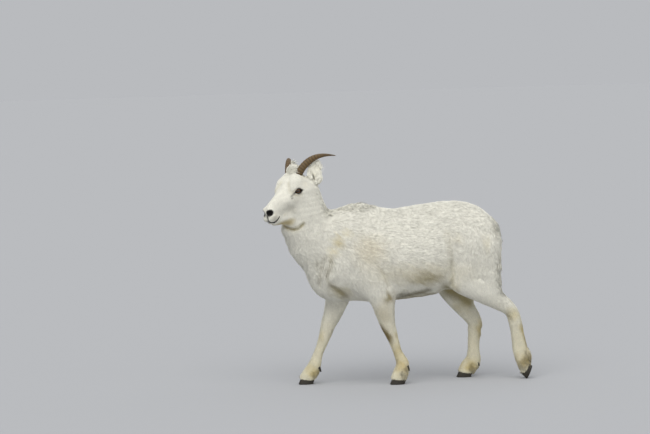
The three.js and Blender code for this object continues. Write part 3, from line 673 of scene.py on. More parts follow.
def union(forms, points):
    """The distance to many forms that flow into each other."""
    lowest = np.full(len(points), 1000.0)
    for form in forms:
        reach = form.blend + 45
        near = np.all((points > form.low - reach) & (points < form.high + reach), axis=1).nonzero()[0]
        if len(near):
            lowest[near] = smooth_union(lowest[near], form.distance(points[near]), form.blend)
    return lowest


# The head's frame


def head_axes():
    """The head's forward, left and up in the ewe's frame, as rows."""
    turn, nod, tilt = (math.radians(a) for a in (HEAD_TURN, HEAD_NOD, HEAD_TILT))
    ahead = np.array((-math.cos(turn), -math.sin(turn), 0))
    forward = ahead * math.cos(nod) - np.array((0, 0, math.sin(nod)))
    left = np.array((math.sin(turn), -math.cos(turn), 0))
    up = np.cross(forward, left) * math.cos(tilt) + left * math.sin(tilt)
    return np.array((forward, np.cross(up, forward), up))


HEAD_AXES = head_axes()


def to_head(points):
    return (points - HEAD_AT) @ HEAD_AXES.T


def from_head(points):
    return np.asarray(points, float) @ HEAD_AXES + HEAD_AT


def frame_shift():
    """The way from the ewe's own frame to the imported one, in metres, from where the left eye is."""
    low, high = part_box("eye_left")
    return np.array((low + high) / 2) - from_head(EYE_AT) * MM


SHIFT = frame_shift()


def axes_facing(outward, along):
    """Three axes as rows: along made square to outward, the way across, and outward."""
    outward = unit(outward)
    along = unit(np.array(along) - outward * (outward @ np.array(along)))
    return np.array((along, np.cross(outward, along), outward))


EYE_AXES = axes_facing(EYE_OUTWARD, (math.cos(math.radians(EYE_RISE)), 0, math.sin(math.radians(EYE_RISE))))
EAR_ROOT = np.array(EAR["root"], float)
EAR_LENGTH = float(np.linalg.norm(np.array(EAR["tip"]) - EAR_ROOT))
EAR_AXES = axes_facing(np.array(EAR["tip"]) - EAR_ROOT, EAR["looks"])


def folded(points):
    """Places in the head's frame, with those on its right side mirrored to the left."""
    return points * (1, 0, 1) + np.abs(points) * (0, 1, 0)


def ear_distance(places):
    """How far folded places in the head's frame lie outside the ear, a leaf rolled to a tube at its root."""
    looks, across, along = ((places - EAR_ROOT) @ EAR_AXES.T).T
    t = np.clip(along / EAR_LENGTH, 0, 1)
    widening = 0.6 + 0.4 * np.sin(np.pi * np.minimum(t * 1.25, 0.5))
    width = EAR["width"] * widening * np.sqrt(np.maximum(1 - t**4, 0.02))
    half_angle = np.radians(150 - 108 * np.minimum(t * 1.5, 1))
    radius = width / 2 / np.sin(np.minimum(half_angle, np.pi / 2))
    thickness = EAR["thickness"] * (1 - 0.4 * t)
    back = radius * 0.75 - looks
    round_about = np.hypot(across, back)
    sideways = np.maximum((np.abs(np.arctan2(across, back)) - half_angle) * round_about, 0)
    sheet = round_about - radius + thickness / 2
    beyond = np.maximum(along - EAR_LENGTH * 0.97, 0) + np.maximum(-12 - along, 0)
    return np.sqrt(sheet**2 + sideways**2 + beyond**2) - thickness / 2


def lid_opening(places):
    """How far places, folded in the head's frame, lie outside the almond between the lids."""
    along, up, outward = ((places - EYE_AT) @ EYE_AXES.T).T
    half = LID["height"] / 2 * (1 - (2 * along / LID["length"]) ** 2)
    return np.maximum((np.abs(up) - half) * 0.8, -outward)


def nostril_distance(places, grow=1.0):
    """How far places, folded in the head's frame, lie outside the nostril."""
    x, y, z = (places - NOSTRIL["at"]).T
    turn = math.radians(NOSTRIL["turn"])
    along = x * math.cos(turn) + y * math.sin(turn)
    out = y * math.cos(turn) - x * math.sin(turn)
    return ellipsoid_distance(along, out, z, *(r * grow for r in NOSTRIL["radii"]))


def line_distance(points, line):
    """How far places lie from a bent line."""
    nearest = np.full(len(points), np.inf)
    for a, b in zip(line[:-1], line[1:]):
        step = b - a
        t = np.clip((points - a) @ step / (step @ step), 0, 1)
        nearest = np.minimum(nearest, np.linalg.norm(points - a - t[:, None] * step, axis=1))
    return nearest


def step_between(value, low, high):
    """0 below low, 1 above high, and smooth between."""
    t = np.clip((value - low) / (high - low), 0, 1)
    return t * t * (3 - 2 * t)


class Fold:
    """A crease or an edge along a bent line, tinted by painted shade and by stains: its width, depth, colour
    and strength.
    """

    def __init__(self, line, width, depth, code, strength):
        self.line = np.array(line, float)
        self.width = width
        self.depth = depth
        self.colour = seen(code)
        self.strength = strength
        self.low = self.line.min(axis=0) - width * 2.5
        self.high = self.line.max(axis=0) + width * 2.5

    def shares(self, points):
        """Which places lie near the fold, and how much of it each has, less with distance from its line."""
        near = np.all((points > self.low) & (points < self.high), axis=1).nonzero()[0]
        away = line_distance(points[near], self.line)
        return near, np.exp(-((away / self.width) ** 2))


def both_folds(rows):
    """A fold for each row, and its mirror image where the row says so."""
    for _, line, width, depth, code, strength, both in rows:
        for hand in (1, -1) if both else (1,):
            yield Fold(np.array(line, float) * (1, hand, 1), width, depth, code, strength)


BODY_FOLDS = list(both_folds(BODY_CREASES))
HEAD_FOLDS = [Fold(*row[1:]) for row in HEAD_CREASES]


def flesh_distance(points):
    """How far places lie outside the coat, over the whole ewe without its ears."""
    distance = union(BODY, points)
    near = (np.linalg.norm(points - HEAD_AT, axis=1) < HEAD_REACH).nonzero()[0]
    distance[near] = smooth_union(distance[near], union(HEAD, to_head(points[near])), NECK_BLEND)
    return distance


def slope_of(measure, points, step=0.5):
    """Which way a distance grows, and how fast."""
    slope = np.empty_like(points)
    for axis in range(3):
        ahead = points.copy()
        ahead[:, axis] += step
        behind = points.copy()
        behind[:, axis] -= step
        slope[:, axis] = (measure(ahead) - measure(behind)) / (2 * step)
    return slope


def settled(measure, points, reach, rounds=2):
    """Places moved onto the surface where a distance is zero, by no more than reach."""
    points = points.copy()
    for _ in range(rounds):
        slope = slope_of(measure, points)
        size = np.maximum((slope**2).sum(axis=1), 0.05)
        move = -slope * (measure(points) / size)[:, None]
        length = np.linalg.norm(move, axis=1, keepdims=True)
        points += move * np.minimum(1, reach / np.maximum(length, 1e-9))
    return points


def foot_frame(leg):
    """Rotation and place of a foot: its x runs from toe to heel along the sole."""
    turn = Matrix.Rotation(-math.radians(leg["toe_down"]), 3, "Y")
    side = leg["side"] * leg_spread(0)
    if not leg["toe_down"]:
        return np.array(turn), np.array((leg["sole"], side, 0.0))
    tip = turn @ Vector((-CLAW["length"] / 2, 0, 0))
    return np.array(turn), np.array((leg["sole"] - tip.x, side, -tip.z - CLAW["toe_flat"]))


def hair_plane():
    """A place and the normal of the plane where hair meets hoof, in the foot's frame."""
    run = CLAW["length"] - 14
    normal = unit((CLAW["toe_height"] - CLAW["heel_height"], 0, run))
    return np.array((-run / 2, 0, CLAW["toe_height"])), normal


class Shape:
    """The skin under the coat, as distances."""

    # How much thicker and thinner the coat is in its slow lumps and hollows.
    UNEVEN = 0.16
    # How much of a crease's depth is in the skin; the rest is where the hair lies flat.
    SUNK = 0.6

    def __init__(self, coat):
        self.body = coat.depth / MM
        self.face = coat.face_depth / MM
        self.leg = coat.leg_depth / MM
        half = [np.array(p, float) for p in MOUTH]
        other = [p * (1, -1, 1) for p in half[:-1]]
        line = resample(half + other[::-1], 2)
        self.mouth = settled(self.bare_head, line, 30, rounds=4)
        self.philtrum = settled(self.bare_head, resample(PHILTRUM, 4), 30, rounds=4)

    def bare_head(self, places):
        """The head's skin without lids, nostrils and mouth, for places in the head's frame."""
        points = from_head(places)
        return flesh_distance(points) + self.depth(points)

    def depth(self, points):
        """How deep the coat is: deep on the body, short on the legs and shortest on the face."""
        height = points[:, 2]
        depth = np.interp(height, (0, 120, 300, 400, 480, 560), (0.85, 1, 1.3, 0.0, 0.0, 0.0))
        deep = np.interp(height, (300, 400, 480, 560), (0, 0.55, 0.92, 1.0))
        body = self.leg * depth * (1 - deep) + self.body * deep
        body = body * np.interp(np.linalg.norm(points - HEAD_AT, axis=1), (140, 340), (0.6, 1.0))
        forward, _, up = to_head(points).T
        away = np.maximum(step_between(-forward, 40, 120), step_between(-up, 110, 160))
        crown = step_between(up, 50, 84) * step_between(-forward, 30, 62) * 0.6
        head = self.face + (self.body - self.face) * np.maximum(away, crown)
        return np.minimum(body, head)

    def hair_depth(self, points):
        """How deep the coat is, with the short hair on the ears."""
        sides = folded(to_head(points))
        ear = (ear_distance(sides) < 4) & (np.linalg.norm(sides, axis=1) < FACE_REACH)
        return np.where(ear, self.face, self.depth(points))

    def laid(self, places, normals, heights):
        """Places moved along the normals until they stand at the heights over the skin."""
        over = self.creased(places) - heights
        return places - normals * np.clip(over, -14, 14)[:, None]

    def creased(self, points):
        """How far places lie outside the skin, with the creases of the body sunk into it."""
        skin = self.distance(points)
        for fold in BODY_FOLDS:
            if fold.depth:
                near, share = fold.shares(points)
                skin[near] += self.SUNK * fold.depth * share
        return skin

    def distance(self, points):
        """How far places lie outside the skin."""
        depth = self.depth(points)
        skin = flesh_distance(points) + depth * (1 + self.UNEVEN * swirl(points * 2.2)[:, 0])
        near = np.all((points > TAIL_CHAIN.low - 40) & (points < TAIL_CHAIN.high + 40), axis=1).nonzero()[0]
        if len(near):
            tail = TAIL_CHAIN.distance(points[near]) + 4.5
            skin[near] = smooth_union(skin[near], tail, 10)
        at, normal = hair_plane()
        for leg in LEGS.values():
            turn, place = foot_frame(leg)
            near = (np.linalg.norm(points - place - (0, 0, 20), axis=1) < 95).nonzero()[0]
            if len(near):
                below = -(((points[near] - place) @ turn) - at) @ normal - 1.5
                skin[near] = smooth_cut(skin[near], -below, 3)
        near = (np.linalg.norm(points - HEAD_AT, axis=1) < FACE_REACH).nonzero()[0]
        if len(near):
            skin[near] = self.head_features(skin[near], to_head(points[near]))
        return skin

    def head_features(self, skin, places):
        """Adds ears, lids, lips, nostrils and mouth to the head's skin."""
        sides = folded(places)
        skin = smooth_union(skin, ear_distance(sides) + 0.7, 9)
        from_eye = np.linalg.norm(sides - EYE_AT, axis=1)
        skin = smooth_union(skin, from_eye - EYE_RADIUS - LID["thickness"], 4)
        lips = np.full(len(places), 100.0)
        front = (places[:, 0] > 80).nonzero()[0]
        if len(front):
            for lift in (5.0, -5.5):
                lip = line_distance(places[front] - (0, 0, lift), self.mouth * (0.985, 0.97, 1)) - 4.6
                lips[front] = np.minimum(lips[front], lip)
            skin = smooth_union(skin, lips, 5)
            groove = np.full(len(places), 100.0)
            groove[front] = line_distance(places[front], self.mouth) - 3.2
            skin = smooth_cut(skin, groove, 2)
            skin = smooth_cut(skin, nostril_distance(sides), 3)
            skin = smooth_cut(skin, line_distance(places, self.philtrum) - 2.8, 3)
        for fold in HEAD_FOLDS:
            near, share = fold.shares(sides)
            skin[near] += fold.depth * share
        skin = smooth_cut(skin, lid_opening(sides), 1)
        return smooth_cut(skin, from_eye - EYE_RADIUS - 0.5, 0.5)


# From a distance to a mesh


def graded(low, high, fine_low, fine_high, coarse, fine):
    """Places along an axis, close together within one stretch and further apart elsewhere."""
    middle = np.arange(fine_low, fine_high + fine / 2, fine)
    below = np.arange(middle[0] - coarse, low - coarse, -coarse)[::-1]
    above = np.arange(middle[-1] + coarse, high + coarse, coarse)
    return np.concatenate((below, middle, above))


def values_near_surface(measure, axes):
    """The distance at each crossing of a grid: exact near the surface, and rough elsewhere."""
    coarse = 14.0
    rough_axes = [np.arange(axis[0] - coarse, axis[-1] + 2 * coarse, coarse) for axis in axes]
    crossings = np.stack(np.meshgrid(*rough_axes, indexing="ij"), axis=-1)
    rough = measure(crossings.reshape(-1, 3)).reshape(crossings.shape[:3])
    nearest = [np.rint((axis - line[0]) / coarse).astype(int) for axis, line in zip(axes, rough_axes)]
    values = rough[np.ix_(*nearest)].astype(np.float32)
    exact = (np.abs(values) < coarse * 1.35).nonzero()
    points = np.stack([axis[i] for axis, i in zip(axes, exact)], axis=-1)
    values[exact] = measure(points)
    return values


def surface_net(values, axes):
    """Corners and four-sided faces of the surface where the values pass through zero."""
    shape = np.array(values.shape)
    strides = np.array((shape[1] * shape[2], shape[2], 1))
    inside = values < 0
    cells, places, rings = [], [], []
    for axis in range(3):
        here = [slice(None)] * 3
        ahead = [slice(None)] * 3
        here[axis] = slice(0, -1)
        ahead[axis] = slice(1, None)
        index = np.array((inside[tuple(here)] != inside[tuple(ahead)]).nonzero())
        start = values[tuple(index)]
        stop_index = index.copy()
        stop_index[axis] += 1
        t = start / (start - values[tuple(stop_index)])
        place = np.stack([line[i] for line, i in zip(axes, index)], axis=-1)
        place[:, axis] += t * (axes[axis][index[axis] + 1] - axes[axis][index[axis]])
        ring = []
        for u, v in ((0, 0), (1, 0), (1, 1), (0, 1)):
            cell = index.copy()
            cell[(axis + 1) % 3] -= u
            cell[(axis + 2) % 3] -= v
            ring.append(strides @ cell)
            cells.append(ring[-1])
            places.append(place)
        ring = np.array(ring)
        rings.append(np.where(start < 0, ring, ring[::-1]))
    cells = np.concatenate(cells)
    names, which = np.unique(cells, return_inverse=True)
    counts = np.bincount(which)
    places = np.concatenate(places)
    corners = np.stack([np.bincount(which, places[:, n]) / counts for n in range(3)], axis=-1)
    faces = np.searchsorted(names, np.concatenate(rings, axis=1).T)
    return corners, faces


def relaxed(corners, faces, share):
    """Corners drawn toward the middle of their neighbours."""
    total = np.zeros_like(corners)
    counts = np.zeros(len(corners))
    for s in range(4):
        for other in (faces[:, (s + 1) % 4], faces[:, (s - 1) % 4]):
            for n in range(3):
                total[:, n] += np.bincount(faces[:, s], corners[other, n], len(corners))
            counts += np.bincount(faces[:, s], minlength=len(corners))
    return corners + (total / counts[:, None] - corners) * share


def make_mesh(name, corners, faces, smooth=True):
    """A mesh object from corners in the ewe's frame and faces: lists of equal rows, one for each size."""
    mesh = bpy.data.meshes.new(name)
    groups = [np.asarray(group, np.int32) for group in faces]
    mesh.vertices.add(len(corners))
    mesh.vertices.foreach_set("co", (np.asarray(corners) * MM + SHIFT).astype(np.float32).ravel())
    sizes = np.concatenate([np.full(len(group), group.shape[1], np.int32) for group in groups])
    mesh.loops.add(int(sizes.sum()))
    mesh.loops.foreach_set("vertex_index", np.concatenate([group.ravel() for group in groups]))
    mesh.polygons.add(len(sizes))
    starts = np.concatenate(((0,), np.cumsum(sizes)[:-1])).astype(np.int32)
    mesh.polygons.foreach_set("loop_start", starts)
    mesh.polygons.foreach_set("use_smooth", np.full(len(sizes), smooth))
    mesh.update(calc_edges=True)
    piece = bpy.data.objects.new(name, mesh)
    bpy.context.scene.collection.objects.link(piece)
    return piece


def paint(piece, colours):
    """Keeps a colour for each corner of a mesh."""
    attribute = piece.data.attributes.new("colour", "FLOAT_COLOR", "POINT")
    full = np.ones((len(colours), 4), np.float32)
    full[:, :3] = np.clip(colours, 0, 1)
    attribute.data.foreach_set("color", full.ravel())


def finish_piece(piece, material, slot, nodes=()):
    """Gives a piece its finish and the nodes it stands for, and lets it ride on the body."""
    piece.data.materials.append(material)
    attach(piece, "root")
    if nodes:
        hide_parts(*nodes)


# Colours

NOSE_COLOUR = np.array(linear("#120f0c"))
RIM_COLOUR = np.array(linear("#1a1410"))


def stain_and_shade(colours, places, marks, low, high):
    """Tints colours by the marks that the places lie in: stains, and painted shade where a mark stands for
    shade.
    """
    for _, centre, radii, code, strength in marks:
        away = np.linalg.norm((places - centre) / radii, axis=1)
        share = strength * (1 - step_between(away, low, high))
        colours += (seen(code) - colours) * share[:, None]


def stain_and_shade_folds(colours, places, folds):
    """Tints colours along the creases and edges, with painted shade and stains."""
    for fold in folds:
        near, share = fold.shares(places)
        colours[near] += (fold.colour - colours[near]) * (fold.strength * share)[:, None]


def marked_colours(shape, points, coat):
    """The colour of the coat at each place, with its stains and painted shade."""
    white, cream = np.array(coat.white), np.array(coat.cream)
    low = 1 - step_between(points[:, 2], 150, 420)
    colours = white + (cream - white) * low[:, None]
    ragged = points + 9 * swirl(points * 3.1)
    stain_and_shade(colours, ragged, BODY_MARKS, 0.05, 1.35)
    stain_and_shade_folds(colours, points, BODY_FOLDS)
    places = to_head(points)
    head = (np.linalg.norm(places, axis=1) < FACE_REACH).nonzero()[0]
    colours[head] = face_colours(shape, places[head], colours[head])
    return colours


def face_colours(shape, places, colours):
    """The head's colours: stains, painted shade in its creases, nose, mouth and the rims of the eyes."""
    sides = folded(places)
    stain_and_shade(colours, sides, HEAD_MARKS, 0.3, 1.15)
    stain_and_shade_folds(colours, sides, HEAD_FOLDS)
    dark = 1 - step_between(nostril_distance(sides, 1.22), -1.0, 3.5)
    front = (places[:, 0] > 80).nonzero()[0]
    mouth = 1 - step_between(line_distance(places[front], shape.mouth), 4.2, 6.6)
    philtrum = 1 - step_between(line_distance(places[front], shape.philtrum), 3.8, 6.2)
    dark[front] = np.maximum(dark[front], np.maximum(mouth, philtrum))
    colours += (NOSE_COLOUR - colours) * dark[:, None]
    from_eye = np.linalg.norm(sides - EYE_AT, axis=1)
    rim = (1 - step_between(lid_opening(sides), 1.6, 4.2)) * (from_eye < EYE_RADIUS + 9)
    return colours + (RIM_COLOUR - colours) * rim[:, None]


# Materials


def new_material(name):
    """A material with its shader, and its node tree to add to."""
    material = bpy.data.materials.new(name)
    material.use_nodes = True
    tree = material.node_tree
    return material, tree, tree.nodes["Principled BSDF"]


def add_node(tree, kind, **inputs):
    """A node with some of its inputs set by name."""
    node = tree.nodes.new(kind)
    for name, value in inputs.items():
        node.inputs[name].default_value = value
    return node


def noise(tree, scale, detail=3.0, stretch=(1, 1, 1)):
    """A noise texture that is fixed to the animal."""
    place = add_node(tree, "ShaderNodeTexCoord")
    mapping = add_node(tree, "ShaderNodeMapping", Scale=stretch)
    tree.links.new(place.outputs["Object"], mapping.inputs["Vector"])
    texture = add_node(tree, "ShaderNodeTexNoise", Scale=scale, Detail=detail, Roughness=0.6)
    tree.links.new(mapping.outputs["Vector"], texture.inputs["Vector"])
    return texture.outputs["Fac"]


def remapped(tree, value, low, high):
    """A texture's value, spread over another range."""
    spans = {"From Min": 0.3, "From Max": 0.7, "To Min": low, "To Max": high}
    node = add_node(tree, "ShaderNodeMapRange", **spans)
    tree.links.new(value, node.inputs["Value"])
    return node.outputs["Result"]


def tinted(tree, colour, value):
    """A colour made darker or lighter by a value about one."""
    node = add_node(tree, "ShaderNodeVectorMath")
    node.operation = "SCALE"
    tree.links.new(colour, node.inputs[0])
    tree.links.new(value, node.inputs["Scale"])
    return node.outputs["Vector"]


def painted(tree):
    """The colour kept on the mesh."""
    node = tree.nodes.new("ShaderNodeAttribute")
    node.attribute_name = "colour"
    return node.outputs["Color"]


def add_bump(tree, shader, height, strength, distance):
    """Roughens a surface by a height."""
    bump = add_node(tree, "ShaderNodeBump", Strength=strength, Distance=distance)
    tree.links.new(height, bump.inputs["Height"])
    tree.links.new(bump.outputs["Normal"], shader.inputs["Normal"])


def hair_material(name, bump_scale, bump_strength, bump_distance):
    """Dull hair: its colour is the mesh's, broken up at two scales, with a fine lie of hairs."""
    material, tree, shader = new_material(name)
    shader.inputs["Roughness"].default_value = 0.85
    shader.inputs["Specular IOR Level"].default_value = 0.25
    shader.inputs["Sheen Weight"].default_value = 0.12
    shader.inputs["Sheen Roughness"].default_value = 0.5
    broad = remapped(tree, noise(tree, 22.0), 0.94, 1.05)
    fine = remapped(tree, noise(tree, 190.0), 0.93, 1.06)
    colour = tinted(tree, tinted(tree, painted(tree), broad), fine)
    tree.links.new(colour, shader.inputs["Base Color"])
    height = noise(tree, bump_scale, 4.0, (0.35, 1.0, 0.5))
    add_bump(tree, shader, height, bump_strength, bump_distance)
    return material


# Operators


class EWE_OT_skin(bpy.types.Operator):
    """Build the one skin that lies under the whole coat."""

    bl_idname = "ewe.skin"
    bl_label = "Build skin"

    # Steps of the grid, at the head and elsewhere.
    FINE = 3.1
    COARSE = 7.5

    def execute(self, context):
        coat = context.scene.ewe_coat
        shape = Shape(coat)
        axes = (
            graded(-600, 600, -676, -362, self.COARSE, self.FINE),
            graded(-175, 175, -190, 112, self.COARSE, self.FINE),
            graded(0, 1000, 742, 1046, self.COARSE, self.FINE),
        )
        values = values_near_surface(shape.distance, axes)
        corners, faces = surface_net(values, axes)
        for share in (0.5, 0.5):
            corners = settled(shape.creased, relaxed(corners, faces, share), 3.0, rounds=1)
        skin = make_mesh("skin", corners, (faces,))
        paint(skin, marked_colours(shape, corners, coat))
        unwrap(skin)
        flesh = [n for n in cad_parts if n.startswith(("leg_", "ear_"))]
        nodes = ["torso", "neck", "head", "tail", *flesh]
        finish_piece(skin, hair_material("short_hair", 420.0, 0.55, 0.0012), "fleece", nodes)
        return {"FINISHED"}


def unwrap(piece):
    """Unwraps a mesh by its own shape, into a map named OFBake."""
    bpy.context.view_layer.objects.active = piece
    piece.select_set(True)
    piece.data.uv_layers.new(name="OFBake")
    bpy.ops.object.mode_set(mode="EDIT")
    bpy.ops.mesh.select_all(action="SELECT")
    bpy.ops.uv.smart_project(angle_limit=math.radians(66), island_margin=0.001)
    bpy.ops.object.mode_set(mode="OBJECT")
    piece.select_set(False)


class Roots:
    """Places on the skin where tufts grow, spread by how many each stretch of coat needs."""

    # How much closer the long hair grows in the cups of the ears.
    IN_EARS = 3

    def __init__(self, skin, shape, count, rng):
        mesh = skin.data
        corners = np.empty(len(mesh.vertices) * 3, np.float32)
        mesh.vertices.foreach_get("co", corners)
        corners = (corners.reshape(-1, 3) - SHIFT) / MM
        normals = np.empty(len(mesh.vertices) * 3, np.float32)
        mesh.vertex_normals.foreach_get("vector", normals)
        normals = normals.reshape(-1, 3)
        quads = np.empty(len(mesh.loops), np.int32)
        mesh.loops.foreach_get("vertex_index", quads)
        quads = quads.reshape(-1, 4)
        maps = np.empty(len(mesh.loops) * 2, np.float32)
        mesh.uv_layers["OFBake"].data.foreach_get("uv", maps)
        maps = maps.reshape(-1, 4, 2)
        triangles = np.concatenate((quads[:, (0, 1, 2)], quads[:, (0, 2, 3)]))
        maps = np.concatenate((maps[:, (0, 1, 2)], maps[:, (0, 2, 3)]))
        order = np.argsort(np.tile(np.arange(len(quads)), 2), kind="stable")
        triangles, maps = triangles[order], maps[order]
        a, b, c = (corners[triangles[:, s]] for s in range(3))
        facing = np.cross(b - a, c - a)
        area = np.linalg.norm(facing, axis=1) / 2
        middle = (a + b + c) / 3
        share = shape.hair_depth(middle) / shape.body
        length, width = tuft_size(share)
        need = area * coverage(share) / (length * width)
        need[inside_ear(middle, unit(facing))] *= self.IN_EARS
        need[is_bare(shape, middle)] = 0
        total = np.cumsum(need)
        draws = (np.arange(count) + rng.random(count)) / count * total[-1]
        chosen = np.minimum(np.searchsorted(total, draws), len(total) - 1)
        u, v = rng.random((2, count))
        over = u + v > 1
        u[over], v[over] = 1 - u[over], 1 - v[over]
        shares = np.stack((1 - u - v, u, v), axis=1)[:, :, None]
        self.places = (corners[triangles[chosen]] * shares).sum(axis=1)
        self.normals = unit((normals[triangles[chosen]] * shares).sum(axis=1))
        self.maps = (maps[chosen] * shares).sum(axis=1)


def tuft_size(share):
    """Length and width of the tufts where the coat is a share of its full depth."""
    length = np.interp(share, (0.24, 0.4, 0.65, 1.0), (6.5, 11, 20, 27))
    width = np.interp(share, (0.24, 0.4, 0.65, 1.0), (1.5, 1.8, 2.4, 2.8))
    return length, width


def coverage(share):
    """How many tufts lie over one another, as a share of the body's."""
    return np.interp(share, (0.24, 0.4, 0.65, 1.0), (0.6, 0.7, 0.9, 1.0))


def inside_ear(points, normals):
    """Which places with their normals are in the cup of an ear."""
    places = to_head(points)
    sides = folded(places)
    facing = normals @ HEAD_AXES.T
    facing[:, 1] *= np.sign(places[:, 1])
    near = (ear_distance(sides) < 4) & (np.linalg.norm(sides, axis=1) < FACE_REACH)
    return near & (facing @ EAR_AXES[0] > 0.1) & ((sides - EAR_ROOT) @ EAR_AXES[2] < EAR_LENGTH * 0.9)


def is_bare(shape, points):
    """Whether places are bare of hair: eyes, nostrils, lips and under the horns."""
    places = to_head(points)
    sides = folded(places)
    near = np.linalg.norm(places, axis=1) < FACE_REACH
    eye = (lid_opening(sides) < 1.5) & (np.linalg.norm(sides - EYE_AT, axis=1) < EYE_RADIUS + 10)
    nose = nostril_distance(sides, 1.1) < 2
    mouth = line_distance(places, shape.mouth) < 4
    tear = line_distance(sides, HEAD_FOLDS[0].line) < 3.5
    horn = np.linalg.norm(sides - HORN["base"], axis=1) < HORN["radius"] * 0.8
    return near & (eye | nose | mouth | tear | horn)


def along_chains(forms, points, axes):
    """The directions of the chains among the forms, each as strong as it is near, turned by the axes."""
    total = np.zeros_like(points)
    for form in forms:
        if isinstance(form, Chain):
            near = np.all((points > form.low - 50) & (points < form.high + 50), axis=1).nonzero()[0]
            distance, link = form.measure(points[near])
            pull = np.exp(-np.clip(distance, -60, 200) / 14)[:, None]
            total[near] += form.axes[link] @ axes * form.lie * pull
    return total


def lie_of_hair(points, normals):
    """Which way the hair lies: along the nearest forms, and down where the coat is long."""
    places = to_head(points)
    lie = unit(along_chains(BODY, points, np.eye(3)) + along_chains(HEAD, places, HEAD_AXES))
    head = np.linalg.norm(places, axis=1) < 150
    hangs = 0.3 + 0.9 * (1 - step_between(points[:, 2], 470, 600)) * step_between(points[:, 2], 330, 420)
    hangs += 0.7 * step_between(points[:, 0], 170, 290) * step_between(points[:, 2], 380, 480)
    lie[:, 2] -= np.where(head, 0.12, hangs)
    sides = folded(places)
    ear = (ear_distance(sides) < 6) & (np.linalg.norm(sides, axis=1) < FACE_REACH)
    along = np.where(places[:, 1:2] < 0, EAR_AXES[2] * (1, -1, 1), EAR_AXES[2]) @ HEAD_AXES
    lie = np.where(ear[:, None], along, lie)
    tail = points[:, 0] > 428
    lie[tail & (points[:, 2] > 610), 2] -= 1.0
    lie += 0.14 * swirl(points)
    # Beside a crease the hair lies along it, so no tuft covers it.
    for fold in BODY_FOLDS:
        if fold.depth:
            near, share = fold.shares(points)
            run = unit(fold.line[-1] - fold.line[0])
            run = run * np.sign(lie[near] @ run)[:, None]
            lie[near] += (run - lie[near]) * (0.9 * share**0.35)[:, None]
    return unit(lie - normals * (lie * normals).sum(axis=1, keepdims=True))


def swirl(points):
    """A slow wander of directions over the body."""
    waves = ((0.031, 0.012, 0.024), (-0.017, 0.034, 0.027), (0.022, -0.029, 0.041))
    phases = [points @ np.array(w) for w in waves]
    x = np.sin(phases[0] + 1.3 * np.sin(phases[1]))
    y = np.sin(phases[1] + 1.1 * np.sin(phases[2]) + 2.0)
    z = np.sin(phases[2] + 1.2 * np.sin(phases[0]) + 4.0)
    return np.stack((x, y, z), axis=1)


def scattered(cells, salt):
    """A number between 0 and 1 for each cell, the same each time."""
    mixed = cells @ np.array((73856093, 19349663, 83492791)) + salt * 2654435761
    mixed = (mixed ^ (mixed >> 13)) * 1274126177
    return ((mixed ^ (mixed >> 16)) & 0xFFFF) / 65535.0


def ruffling(points):
    """How much the hair stands up at each place."""
    total = np.zeros(len(points))
    for _, centre, radii, strength in RUFFLED:
        away = np.linalg.norm((points - centre) / radii, axis=1)
        total = np.maximum(total, strength * (1 - step_between(away, 0.4, 1.2)))
    return total


def creasing(points):
    """How much of the hair's rise the creases take away at each place."""
    total = np.zeros(len(points))
    for fold in BODY_FOLDS:
        near, share = fold.shares(points)
        total[near] = np.maximum(total[near], share * min(fold.depth / 7, 1))
    return total


def near_hooves(points):
    """How near places are to the line where hair meets hoof: 1 at the line, 0 well above it."""
    at, normal = hair_plane()
    share = np.zeros(len(points))
    for leg in LEGS.values():
        turn, place = foot_frame(leg)
        near = (np.linalg.norm(points - place, axis=1) < 120).nonzero()[0]
        above = ((points[near] - place) @ turn - at) @ normal
        share[near] = np.maximum(share[near], 1 - step_between(above, 3, 22))
    return share


